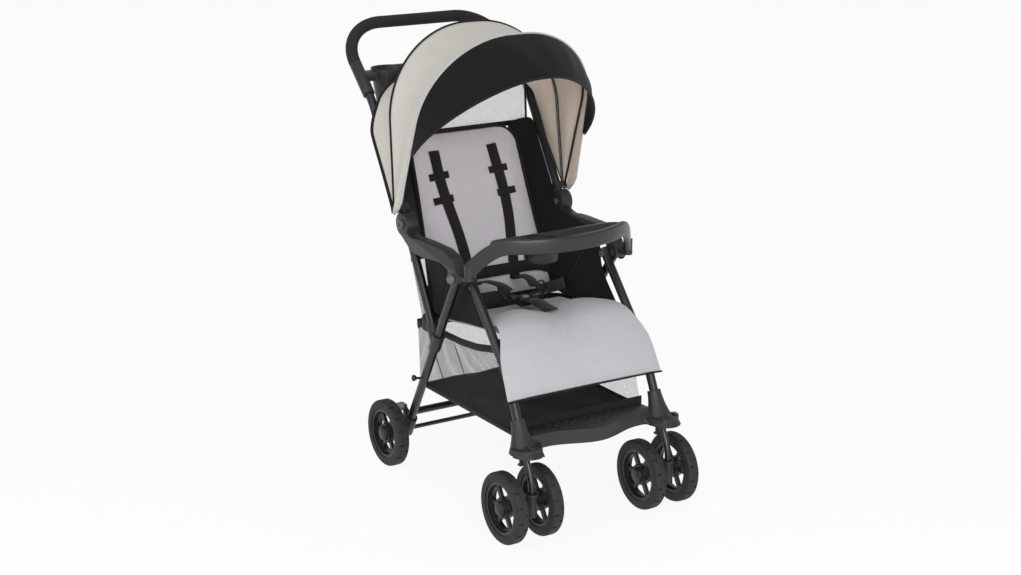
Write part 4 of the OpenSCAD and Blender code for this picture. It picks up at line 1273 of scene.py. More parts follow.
    def bindings(self, finishes: Finishes) -> None:
        """Builds the piping along the bows, the visor's hem and the rear binding."""
        grow = self.lift + 0.0012
        rim = self.visor_rim(90)
        for name, path, body, finish, radius in (
            ("rear_binding", self.rear.points(self.start, grow), Body.HANDLE, "piping", 0.0040),
            ("mid_piping", self.mid.points(self.start, grow), Body.CANOPY_MID, "piping", self.hem_radius),
            ("front_piping", self.front.points(self.start, grow), Body.CANOPY_FRONT, "pale_piping", 0.0022),
            ("visor_hem", rim, Body.CANOPY_FRONT, "piping", self.hem_radius),
        ):
            Piece.settle(Piece.dress(Maker.tube(name, path, radius), finishes[finish]), body, "black_fabric")


class Surface:
    """Finds points on a finished mesh."""

    def __init__(self, obj: Object) -> None:
        """Takes the mesh as it is now."""
        data = obj.data
        self.tree = BVHTree.FromPolygons([v.co for v in data.vertices], [p.vertices for p in data.polygons])

    def drop(self, start: Array, way: Array) -> Array:
        """Drops points onto the mesh.

        Args:
            start: The points, well outside the mesh.
            way: The direction in which they drop.

        Returns:
            Where each one lands, or the mesh's nearest point if it misses.
        """
        landed = []
        for p in start:
            hit = self.tree.ray_cast(Vector(p), Vector(way))[0]
            landed.append(np.array(self.tree.find_nearest(Vector(p))[0] if hit is None else hit))
        return np.array(landed)


def spline(points: Sequence[Sequence[float]], count: int) -> Array:
    """Runs a smooth curve through points.

    Args:
        points: The points, in any number of dimensions.
        count: How many points the curve gets.

    Returns:
        The curve's points.
    """
    p = np.asarray(points, dtype=float)
    p = np.concatenate([[2 * p[0] - p[1]], p, [2 * p[-1] - p[-2]]])
    t = np.linspace(0, len(p) - 3, count)
    i = np.minimum(t.astype(int), len(p) - 4)
    f = (t - i)[:, None]
    a, b, c, d = p[i], p[i + 1], p[i + 2], p[i + 3]
    return 0.5 * (2 * b + (c - a) * f + (2 * a - 5 * b + 4 * c - d) * f**2 + (3 * b - a - 3 * c + d) * f**3)


def smooth_row(values: Array, turns: int = 4) -> Array:
    """Evens out a row of points, ends kept."""
    for _ in range(turns):
        values = np.concatenate([values[:1], (values[:-2] + 2 * values[1:-1] + values[2:]) / 4, values[-1:]])
    return values


@dataclass
class SeatBack:
    """Padded seat back with its black edging, back cover, shoulder straps and their tabs."""

    foot: tuple[float, float] = (0.058, 0.365)
    angle: float = 69.0
    lead: float = 0.028
    length: float = 0.408
    half_low: float = 0.157
    half_top: float = 0.136
    waist: float = 0.004
    corner: float = 0.05
    seam: float = 0.007
    rise: float = 0.014
    crown: float = 0.006
    strap_paths: dict[str, Pairs] = field(default_factory=lambda: {
        "left": ((0.0590, 0.366), (0.0640, 0.316), (0.0688, 0.260), (0.0688, 0.205), (0.0645, 0.160),
                 (0.0585, 0.100), (0.0550, 0.060)),
        "right": ((-0.0870, 0.366), (-0.0865, 0.307), (-0.0823, 0.267), (-0.0750, 0.224), (-0.0643, 0.163),
                  (-0.0585, 0.100), (-0.0550, 0.060))})
    strap_width: float = 0.026
    strap_thick: float = 0.0022
    tabs: Pairs = ((0.309, 0.0), (0.256, -0.006))
    tab_half: float = 0.024
    tab_tilt: float = 0.07
    tab_width: float = 0.016
    tab_lift: float = 0.0016
    waist_path: Pairs = (
        (0.152, 0.034), (0.157, 0.050), (0.153, 0.066), (0.138, 0.078), (0.105, 0.0835), (0.050, 0.084),
        (0.0, 0.084))
    waist_flat: float = 0.144
    cover_lead: float = 0.016
    cover_gap: float = 0.002
    cover_inset: float = 0.003
    cover_back: float = 0.0065
    cover_belly: float = 0.006
    cover_wave: float = 0.0012
    cover_thick: float = 0.0014
    clear: float = 0.2

    def at(self, x: Array | float, up: Array | float, out: Array | float) -> Array:
        """Turns sideways, up and out lengths on the seat back into points in the row frame."""
        a = math.radians(self.angle)
        x, up, out = np.broadcast_arrays(np.asarray(x, float), up, out)
        return np.stack([x, self.foot[0] + up * math.cos(a) - out * math.sin(a),
                         self.foot[1] + up * math.sin(a) + out * math.cos(a)], -1)

    def out(self) -> Array:
        """Returns the direction from the seat back to the child."""
        a = math.radians(self.angle)
        return np.array([0.0, -math.sin(a), math.cos(a)])

    def half(self, up: Array) -> Array:
        """Returns the pad's half width at lengths up the seat back."""
        v = 2 * (up - self.lead) / (self.length - self.lead) - 1
        wide = self.half_low + (self.half_top - self.half_low) * (v + 1) / 2 - self.waist * (1 - v * v)
        past = np.clip(up - (self.length - self.corner), 0, self.corner)
        return wide - self.corner + np.sqrt(self.corner**2 - past**2)

    def build(self, finishes: Finishes) -> None:
        """Builds and dresses the seat back."""
        pad = self.pad(finishes)
        self.edging(finishes)
        self.cover(finishes)
        self.straps(Surface(pad), finishes)

    def pad(self, finishes: Finishes) -> Object:
        """Builds the pad and returns it."""
        up = np.linspace(self.lead, self.length, 64)[:, None]
        u = np.linspace(-1, 1, 52)[None, :]
        v = 2 * (up - self.lead) / (self.length - self.lead) - 1
        half = self.half(up)
        near = np.minimum(np.minimum(half * (1 - abs(u)), up - self.lead), self.length - up)
        full = Padding.rounding(near)
        plump = self.rise - self.seam + self.crown * Padding.dome(u, v)
        top = self.at(u * half, up, self.seam + full * plump)
        low = self.at(u * half, up, self.seam * (1 - full) + 0.0008)
        obj = Padding.cushion("seat_back_cushion", top, low, finishes["seat_cloth_painted_lighter"])
        Piece.settle(obj, Body.SEAT_BACK, "seat_grey", ["seat_back_pad"])
        return obj

    def edging(self, finishes: Finishes) -> None:
        """Builds the black binding round the pad's sides and top."""
        up = np.linspace(self.lead, self.length, 60)
        path = mirrored(self.at(self.half(up), up, self.seam))
        trim = Maker.tube("seat_back_binding", path, 0.0042)
        Piece.settle(Piece.dress(trim, finishes["piping"]), Body.SEAT_BACK, "black_fabric")

    def cover(self, finishes: Finishes) -> None:
        """Builds the black cloth behind the board."""
        up = np.linspace(self.cover_lead, self.length - self.cover_gap, 40)[:, None]
        u = np.linspace(-1, 1, 34)[None, :]
        v = 2 * (up - self.cover_lead) / (self.length - self.cover_gap - self.cover_lead) - 1
        dome = (1 - u**2) * (1 - v**2)
        wave = self.cover_wave * np.sin(9 * u + 4 * v) * dome
        behind = -self.cover_back - self.cover_belly * dome + wave
        grid = self.at(u * (self.half(up) - self.cover_inset), up, behind)
        obj = Maker.grid("seat_back_cover", grid)
        Maker.thicken(Piece.dress(obj, finishes["black_cloth"]), self.cover_thick)
        Piece.settle(obj, Body.SEAT_BACK, "black_fabric")

    def straps(self, pad: Surface, finishes: Finishes) -> None:
        """Builds both shoulder straps, their slots and tabs.

        Args:
            pad: The finished pad that they lie on.
            finishes: The finishes.
        """
        out, parts = self.out(), []
        upward = self.at(0.0, 1.0, 0.0) - self.at(0.0, 0.0, 0.0)
        for name, side in SIDES.items():
            line = spline(self.strap_paths[name], 48)
            bed = pad.drop(self.at(line[:, 0], line[:, 1], self.clear), -out)
            path = smooth_row(bed) + out * (self.strap_thick * 0.7)
            parts.append(Maker.ribbon(f"strap_{name}", path, ACROSS, self.strap_width, self.strap_thick))
            for tab, shift in self.tabs:
                x = np.interp(-tab, -line[:, 1], line[:, 0])
                xs = x - side * shift + np.linspace(-self.tab_half, self.tab_half, 17)
                bed = pad.drop(self.at(xs, tab + self.tab_tilt * (xs - x), self.clear), -out)
                over = abs(xs - x) < self.strap_width / 2 + 0.002
                lift = self.tab_lift + np.where(over, self.strap_thick * 1.3, 0.0)
                path = smooth_row(bed + out * lift[:, None], 2)
                parts.append(Maker.ribbon(f"tab_{name}", path, upward, self.tab_width, self.strap_thick))
        parts.append(self.belt(pad))
        obj = Piece.group("shoulder_harness", parts, finishes["webbing"])
        Piece.settle(obj, Body.SEAT_BACK, "black_fabric", ["shoulder_straps"])

    def belt(self, pad: Surface) -> Object:
        """Builds the waist belt that lies across the seat back and turns down at its sides.

        Args:
            pad: The finished pad that it lies on.

        Returns:
            The belt.
        """
        line = mirrored(spline(self.waist_path, 40), shared=True)
        inside = np.clip(line[:, 0], -self.waist_flat, self.waist_flat)
        past = np.abs(line[:, 0] - inside)
        bed = pad.drop(self.at(inside, line[:, 1], self.clear), -self.out())
        bed[:, 0] = line[:, 0]
        path = smooth_row(bed + self.out() * (0.0036 - 0.7 * past)[:, None], 6)
        step = np.gradient(line, axis=0)
        side = np.stack([-step[:, 1], step[:, 0]], 1)
        across = self.at(side[:, 0], side[:, 1], 0.0) - self.at(0.0, 0.0, 0.0)
        return Maker.ribbon("waist_belt", path, across, self.strap_width, self.strap_thick)


@dataclass
class SeatBase:
    """Padded seat base."""

    rear: float = 0.030
    front: float = -0.213
    rear_z: float = 0.372
    front_z: float = 0.402
    half: float = 0.157
    waist: float = 0.004
    seam: float = 0.006
    rise: float = 0.009
    crown: float = 0.002

    def build(self, finishes: Finishes) -> None:
        """Builds and dresses the seat base."""
        v = np.linspace(-1, 1, 48)[:, None]
        u = np.linspace(-1, 1, 56)[None, :]
        t = (v + 1) / 2
        half = self.half - self.waist * (1 - v * v)
        near = np.minimum(half * (1 - abs(u)), (1 - abs(v)) * (self.rear - self.front) / 2)
        full = Padding.rounding(near)
        plump = self.rise - self.seam + self.crown * Padding.dome(u, v)
        y = self.rear + (self.front - self.rear) * t + 0 * u
        z = self.rear_z + (self.front_z - self.rear_z) * t + 0 * u
        top = np.stack([u * half, y, z + self.seam + full * plump], -1)
        low = np.stack([u * half, y, z + self.seam * (1 - full) + 0.0006], -1)
        obj = Padding.cushion("seat_base_cushion", top, low, finishes["seat_cloth_painted_lighter"])
        Piece.settle(obj, Body.CHASSIS, "seat_grey", ["seat_base"])


@dataclass
class CalfPanel:
    """Large padded panel that rises into two thigh lobes and hangs down in front of the legs."""

    middle: Pairs = (
        (-0.118, 0.4080), (-0.142, 0.4120), (-0.166, 0.4155), (-0.198, 0.419), (-0.231, 0.408),
        (-0.268, 0.369), (-0.297, 0.319), (-0.303, 0.293))
    lobe: Pairs = (
        (-0.106, 0.4075), (-0.126, 0.4215), (-0.150, 0.430), (-0.192, 0.432), (-0.230, 0.417),
        (-0.270, 0.372), (-0.299, 0.321), (-0.304, 0.293))
    edge: Pairs = (
        (-0.118, 0.4080), (-0.138, 0.4140), (-0.162, 0.419), (-0.194, 0.422), (-0.228, 0.411),
        (-0.265, 0.366), (-0.293, 0.314), (-0.304, 0.291))
    under: Pairs = (
        (-0.118, 0.4080), (-0.142, 0.4082), (-0.170, 0.4110), (-0.204, 0.4130), (-0.231, 0.4015),
        (-0.263, 0.361), (-0.2895, 0.3105), (-0.301, 0.291))
    half: tuple[float, ...] = (0.118, 0.138, 0.150, 0.157, 0.166, 0.187, 0.193, 0.194)

    def outer(self, u: Array, rows: int) -> Array:
        """Returns the outer grid of points for values of u from -1 to 1 across the panel."""
        middle, lobe, edge = (spline(p, rows)[:, None] for p in (self.middle, self.lobe, self.edge))
        inner = ease(abs(u) / 0.5)[None, :, None]
        outer = np.clip((abs(u) - 0.5) / 0.5, 0, 1)[None, :, None]
        side = middle + (lobe - middle) * inner + (edge - lobe) * outer**2.2
        half = spline([(h,) for h in self.half], rows)
        return np.concatenate([(half * u[None])[:, :, None], side], -1)

    def build(self, finishes: Finishes, sewing: Stitching) -> None:
        """Builds and dresses the panel."""
        rows, u = 60, np.linspace(-1, 1, 64)
        top = self.outer(u, rows)
        flat = np.broadcast_to(spline(self.under, rows)[:, None], (rows, len(u), 2))
        low = np.concatenate([top[:, :, :1], flat], -1)
        obj = Padding.cushion("calf_cushion", top, low, finishes["calf_cloth_painted_darker"])
        self.tie(obj, ["calf_panel"])
        hem = Maker.tube("calf_hem", top[-1] + [0.0, -0.001, -0.0012], 0.0022)
        self.tie(Piece.dress(hem, finishes["piping"]))
        ahead = np.array([0.0, -0.1, 0.06])
        line = smooth_row(Surface(obj).drop(top[-4] + ahead, -ahead))
        self.tie(sewing.row("calf_stitches", line, finishes["thread_grey"]))

    @staticmethod
    def tie(obj: Object, nodes: Sequence[str] = ()) -> None:
        """Bakes a piece that spans the seat and the front legs in place; it follows neither."""
        Piece.bend(obj, (Body.CHASSIS, Body.FRONT_FRAME), (0.0, -0.205, 0.43), (0.0, -0.247, 0.385),
                   "seat_grey", nodes)


@dataclass
class Wings:
    """Black side cloths between the seat back, the armrests and the seat's edges."""

    outer: Points = (
        (0.134, 0.203, 0.750), (0.160, 0.203, 0.757), (0.1888, 0.197, 0.752), (0.1893, 0.166, 0.702),
        (0.1893, 0.129, 0.641), (0.1885, 0.098, 0.592), (0.1862, 0.068, 0.565), (0.1862, 0.010, 0.556),
        (0.1862, -0.052, 0.546), (0.180, -0.088, 0.524), (0.168, -0.118, 0.475), (0.1613, -0.184, 0.412))
    inner: Points = (
        (0.124, 0.199, 0.742), (0.133, 0.178, 0.668), (0.1385, 0.150, 0.596), (0.144, 0.122, 0.524),
        (0.149, 0.094, 0.452), (0.1545, 0.070, 0.404), (0.1605, 0.020, 0.386), (0.1605, -0.080, 0.398),
        (0.1605, -0.182, 0.408))
    split: float = -0.058
    slack: float = 0.010
    fold: float = 0.0022
    thick: float = 0.0016

    def build(self, finishes: Finishes) -> None:
        """Builds and dresses both wings, each in a main cloth and a front one beside the front leg."""
        main, ahead = [], []
        for side in SIDES.values():
            grid = self.grid(side)
            cut = int(np.argmin(np.abs(grid[:, :, 1].min(0) - self.split)))
            main.append(grid[:, : cut + 1])
            ahead.append(grid[:, cut:])
        for name, grids, body, start, end, nodes in (
            ("side_wings", main, Body.SEAT_BACK, (0.0, 0.083, 0.5696), (0.0, 0.1185, 0.556), ["seat_wings"]),
            ("wing_fronts", ahead, Body.FRONT_FRAME, (0.0, -0.075, 0.45), (0.0, -0.125, 0.45), []),
        ):
            parts = [Maker.thicken(Maker.grid(name, grid), self.thick) for grid in grids]
            obj = Piece.group(name, parts, finishes["black_cloth"])
            Piece.bend(obj, (Body.CHASSIS, body), start, end, "black_fabric", nodes)

    def grid(self, side: float) -> Array:
        """Spans one wing between its edges, with soft folds.

        Args:
            side: 1 for the left one, -1 for the right one.

        Returns:
            A grid of points.
        """
        grid, t = between(spline(self.outer, 70), spline(self.inner, 70), 22)
        along = np.linspace(0, 1, 70)[None, :]
        slack = np.sin(math.pi * t) * np.sin(math.pi * along)
        grid[:, :, 0] += slack * (self.fold * np.sin(5 * math.pi * along + 3 * t) - self.slack)
        return grid * [side, 1.0, 1.0]


@dataclass
class Basket:
    """Basket under the seat: black cloth floor, net walls, black hems and a net pocket behind the seat."""

    half: float = 0.1575
    front: float = -0.2836
    back: float = 0.1175
    floor: float = 0.2035
    rim: float = 0.352
    lip: float = 0.236
    lean: float = 0.008
    rake: float = 0.052
    rim_line: Pairs = (
        (-0.24, 0.384), (-0.199, 0.378), (-0.13, 0.364), (-0.067, 0.358), (0.0, 0.357), (0.13, 0.352))
    cloth: float = 0.0018
    band: float = 0.002
    proud: float = 0.0012
    rim_band: float = 0.016
    foot_band: float = 0.012
    back_band: float = 0.022
    cord: float = 0.0011
    cords: Pairs = ((0.075, -0.01), (-0.04, -0.125))
    pocket_top: Points = (
        (0.197, 0.074, 0.503), (0.176, 0.112, 0.496), (0.120, 0.137, 0.488), (0.0, 0.143, 0.482))
    pocket_foot: Points = (
        (0.188, 0.020, 0.372), (0.170, 0.080, 0.364), (0.115, 0.124, 0.360), (0.0, 0.132, 0.358))
    pocket_belly: float = 0.008
    pocket_half: float = 0.2
    pocket_band: tuple[float, float] = (0.028, 0.0024)
    pocket_rim: float = 0.010

    def tie(self, obj: Object, slot: str, nodes: Sequence[str] = ()) -> Object:
        """Ties a piece of the basket to the chassis, with a mesh of its own."""
        Piece.settle(obj, Body.CHASSIS, slot, nodes)
        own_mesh(obj)
        return obj

    def top(self, y: Array) -> Array:
        """Returns the height of a side wall's upper edge along the basket."""
        return np.interp(y, *zip(*self.rim_line))

    def side(self, t: Array, along: Array) -> tuple[Array, Array]:
        """Finds points of a side wall.

        Args:
            t: How far up the wall, from 0 to 1.
            along: How far forward, from 0 at the back to 1 at the front legs.

        Returns:
            Their y and z values.
        """
        back = self.back + self.lean * t
        y = back + (self.front + self.rake * t - back) * along
        edge = self.back + self.lean + (self.front + self.rake - self.back - self.lean) * along
        return y, self.floor + (self.top(edge) - self.floor) * t

    def build(self, finishes: Finishes) -> None:
        """Builds and dresses the basket."""
        self.base(finishes)
        self.walls(finishes)
        self.hems(finishes)
        self.pocket(finishes)

    def base(self, finishes: Finishes) -> None:
        """Builds the sagging floor."""
        y = np.linspace(self.front, self.back, 44)[:, None]
        u = np.linspace(-1, 1, 36)[None, :]
        v = 2 * (y - self.front) / (self.back - self.front) - 1
        sag = -0.009 * (1 - u**2) * (1 - v**2) + 0.0016 * np.sin(7 * u + 5 * v) * (1 - u**2)
        grid = np.stack(np.broadcast_arrays(u * self.half, y, self.floor + sag), -1)
        obj = Maker.thicken(Maker.grid("basket_floor", grid), self.cloth)
        Piece.dress(obj, finishes["black_cloth"])
        self.tie(obj, "black_fabric", ["basket"])

    def walls(self, finishes: Finishes) -> None:
        """Builds the net walls."""
        t = np.linspace(0, 1, 16)[:, None]
        along = np.linspace(0, 1, 48)[None, :]
        bulge = 0.003 * np.sin(math.pi * t) * np.sin(math.pi * along)
        grids = {name: np.stack(np.broadcast_arrays(side * (self.half + bulge), *self.side(t, along)), -1)
                 for name, side in SIDES.items()}
        x = np.linspace(-self.half, self.half, 40)[None, :]
        sway = 0.004 * np.sin(math.pi * t) * np.cos(math.pi * x / (2 * self.half))
        rise = (self.rim - self.floor) * t
        y = self.back + self.lean * t + sway
        grids["back"] = np.stack(np.broadcast_arrays(x, y, self.floor + rise), -1)
        for name, grid in grids.items():
            obj = Piece.dress(Maker.grid(f"basket_net_{name}", grid), finishes["net"])
            self.tie(obj, "basket_mesh")

    def hems(self, finishes: Finishes) -> None:
        """Builds the black bands along the rims, the floor's edge and the cords down the nets."""
        parts = []
        for name, side in SIDES.items():
            x = side * (self.half + self.proud)
            edge = np.stack(self.side(np.ones(60), np.linspace(0, 1, 60)), 1)
            rim = np.column_stack([np.full(60, x), edge - [0.0, self.rim_band / 2]])
            parts.append(Maker.ribbon(f"rim_{name}", rim, UPWARD, self.rim_band, self.band))
            z = self.floor + 0.004
            low = np.linspace((x, self.front, z), (x, self.back, z), 40)
            parts.append(Maker.ribbon(f"foot_{name}", low, UPWARD, self.foot_band, self.band))
            for top, foot in self.cords:
                high = (x + side * 0.003, top, self.rim - 0.012)
                line = np.linspace(high, (x, foot, self.floor + 0.006), 12)
                parts.append(Maker.tube(f"cord_{name}", line, self.cord, 6))
        for name, y, z, width in (
            ("rim_back", self.back + self.lean + 0.001, self.rim - self.back_band / 2, self.back_band),
            ("lip_front", self.front, (self.floor + self.lip) / 2, self.lip - self.floor),
        ):
            line = np.linspace((-self.half, y, z), (self.half, y, z), 30)
            parts.append(Maker.ribbon(name, line, UPWARD, width, self.band))
        self.tie(Piece.group("basket_hems", parts, finishes["webbing"]), "black_fabric")

    def pocket(self, finishes: Finishes) -> None:
        """Builds the net pocket that hangs behind the seat back between the push tubes."""
        edges = (np.array(edge) for edge in (self.pocket_top, self.pocket_foot))
        high, low = (spline(mirrored(edge, shared=True), 60) for edge in edges)
        grid, t = between(high, low, 18)
        middle = np.cos(high[:, 0] / self.pocket_half * math.pi / 2)[None]
        grid[:, :, 1] += self.pocket_belly * np.sin(math.pi * t) * middle
        obj = self.slump(Piece.dress(Maker.grid("rear_pocket_net", grid), finishes["net"]), "basket_mesh")
        parts = [Maker.ribbon("pocket_band", low + [0, 0.002, -0.006], UPWARD, *self.pocket_band),
                 Maker.ribbon("pocket_rim", high + [0, 0.001, 0], UPWARD, self.pocket_rim, self.band)]
        self.slump(Piece.group("pocket_bands", parts, finishes["webbing"]), "black_fabric")

    @staticmethod
    def slump(obj: Object, slot: str) -> Object:
        """Ties a piece of the pocket to the chassis, with a mesh of its own."""
        Piece.settle(obj, Body.CHASSIS, slot)
        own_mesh(obj)
        return obj


@dataclass
class Harness:
    """Lap belt, crotch strap and the lower ends of the shoulder straps."""

    buckle: Point = (0.0, -0.07, 0.4197)
    width: float = 0.025
    thick: float = 0.0022
    crotch: float = 0.036
    lap_path: Points = (
        (0.036, 0.004, 0.012), (0.062, 0.014, 0.014), (0.10, 0.03, 0.010), (0.138, 0.06, 0.004),
        (0.158, 0.09, -0.002))
    lower_path: Points = (
        (0.033, 0.014, 0.022), (0.040, 0.045, 0.030), (0.049, 0.095, 0.026), (0.0545, 0.118, 0.012),
        (0.055, 0.1305, 0.0118))
    crotch_path: Points = (
        (0.0, 0.012, 0.004), (0.0, -0.02, 0.006), (0.0, -0.045, 0.007), (0.0, -0.075, 0.004),
        (0.0, -0.10, 0.003))
    tongue_rings: Points = (
        (0.014, 0.008, 0.003), (0.020, 0.009, 0.0035), (0.026, 0.013, 0.005), (0.032, 0.0145, 0.0055),
        (0.038, 0.013, 0.005), (0.042, 0.007, 0.003))
    lap_across: Point = (0.0, 0.45, 0.9)
    slider: Point = (0.050, 0.012, 0.018)
    slider_half: tuple[float, float] = (0.010, 0.017)
    slider_wire: float = 0.0019
    slider_bar: tuple[float, float] = (0.016, 0.0016)

    def path(self, offsets: Sequence[Point], side: float = 1.0, count: int = 40) -> Array:
        """Runs a smooth path through points that are given from the buckle, on one side."""
        return spline((np.array(offsets) + self.buckle) * [side, 1.0, 1.0], count)

    def build(self, finishes: Finishes) -> None:
        """Builds and dresses the belts."""
        lap, lower, hard = [], [], []
        for name, side in SIDES.items():
            path = self.path(self.lap_path, side)
            lap.append(Maker.ribbon(f"lap_{name}", path, np.array(self.lap_across), self.width, self.thick))
            path = self.path(self.lower_path, side)
            lower.append(Maker.ribbon(f"lower_{name}", path, ACROSS, self.width, self.thick))
            hard.append(self.tongue(f"tongue_{name}", side))
            centre = (np.array(self.slider) + self.buckle) * [side, 1.0, 1.0]
            hard.append(self.ring(f"ring_{name}", centre, side))
        path = self.path(self.crotch_path, count=30)
        lap.append(Maker.ribbon("crotch", path, ACROSS, self.crotch, self.thick))
        belts = Piece.group("lap_harness", lap, finishes["webbing"])
        Piece.settle(belts, Body.CHASSIS, "black_fabric", ["lap_belt"])
        straps = Piece.group("lower_harness", lower, finishes["webbing"])
        Piece.bend(straps, (Body.CHASSIS, Body.SEAT_BACK), (0.0, 0.02, 0.43), (0.0, 0.058, 0.431),
                   "black_fabric")
        tongues = Piece.group("buckle_tongues", hard, finishes["buckle_black"])
        Piece.settle(tongues, Body.CHASSIS, "charcoal")

    def tongue(self, name: str, side: float) -> Object:
        """Builds one tongue that plugs into the buckle: a plate that widens to a rounded end.

        Args:
            name: The piece's name.
            side: 1 for the left one, -1 for the right one.

        Returns:
            The tongue.
        """
        x, wide, thick = (column[:, None] for column in np.array(self.tongue_rings).T)
        turn = circle(16)
        z = thick * squared(np.sin(turn)) + 0.25 * (x - x[0])
        ring = np.stack(np.broadcast_arrays(x, wide * squared(np.cos(turn)), z), -1)
        middle = np.array([0.0, self.buckle[1] + 0.004, self.buckle[2] + 0.006])
        return Maker.cap(Maker.grid(name, (ring + middle) * [side, 1.0, 1.0], wrap=True), len(turn))

    def ring(self, name: str, centre: Array, side: float) -> Object:
        """Builds a strap slider: a rounded rectangle of wire with a bar across.

        Args:
            name: The piece's name.
            centre: Its middle.
            side: 1 for the left one, -1 for the right one.

        Returns:
            The slider.
        """
        turn = circle(48)[:, None]
        a = np.array([side * 0.6, -0.2, 0.35]) / 0.723
        b = np.array([0.0, 0.868, 0.496])
        wide, tall = self.slider_half
        path = centre + wide * squared(np.cos(turn)) * a + tall * squared(np.sin(turn)) * b
        frame = Maker.tube(name, path, self.slider_wire, 8, closed=True)
        half, radius = self.slider_bar
        bar = Maker.tube(name + "_bar", centre + np.linspace(-half, half, 6)[:, None] * b, radius, 8)
        return Maker.join(name, [frame, bar])


@dataclass
class Fittings:
    """Small fittings: wheel hub caps and knobs on the rear legs."""

    cap_radius: float = 0.0165
    cap_least: float = 0.004
    cap_over: float = 0.002
    cap_sunk: float = 0.003
    cap_profile: Pairs = (
        (1.0, 0.2), (0.93, 0.55), (0.7, 0.85), (0.35, 1.0), (0.0, 1.02))
    knob: Point = (0.190, 0.057, 0.239)
    knob_way: Point = (0.82, 0.57, 0.0)
    knob_profile: Pairs = (
        (0.0028, 0.0), (0.0028, 0.010), (0.0042, 0.0105), (0.0068, 0.0135), (0.0072, 0.0165),
        (0.0058, 0.0200), (0.0, 0.0215))

    def build(self, owner: dict[str, str], finishes: Finishes) -> None:
        """Builds and dresses the fittings.

        Args:
            owner: The body of each CAD node.
            finishes: The finishes.
        """
        for rim in on_wheels("rim"):
            cap = Piece.dress(self.hub_cap(rim), finishes["rim_black"])
            Piece.settle(cap, owner[rim], "charcoal")
        mirror = [np.array([side, 1.0, 1.0]) for side in SIDES.values()]
        parts = [Maker.turned("knob", self.knob * m, self.knob_way * m, self.knob_profile) for m in mirror]
        knobs = Maker.join("leg_knobs", [Piece.dress(p, finishes["gloss_black"]) for p in parts])
        Piece.settle(knobs, Body.CHASSIS, "charcoal")

    def hub_cap(self, rim: str) -> Object:
        """Builds the cap on a rim's outer face, over its axle's end.

        Args:
            rim: The rim's CAD node.

        Returns:
            The cap.
        """
        axle = "rear_axle" if rim.startswith("rear") else f"front_axle_{rim.split('_')[2]}"
        low, high = (np.array(c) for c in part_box(rim))
        ends = [float(c[0]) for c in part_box(axle)]
        middle = (low + high) / 2
        out = 1.0 if middle[0] > sum(ends) / 2 else -1.0
        face, end = (high[0], max(ends)) if out > 0 else (low[0], min(ends))
        tall = max(self.cap_least, (end - face) * out + self.cap_over)
        r = self.cap_radius
        profile = [(r, -self.cap_sunk)] + [(wide * r, up * tall) for wide, up in self.cap_profile]
        return Maker.turned(rim.replace("rim", "hub_cap"), (face, *middle[1:]), (out, 0, 0), profile)


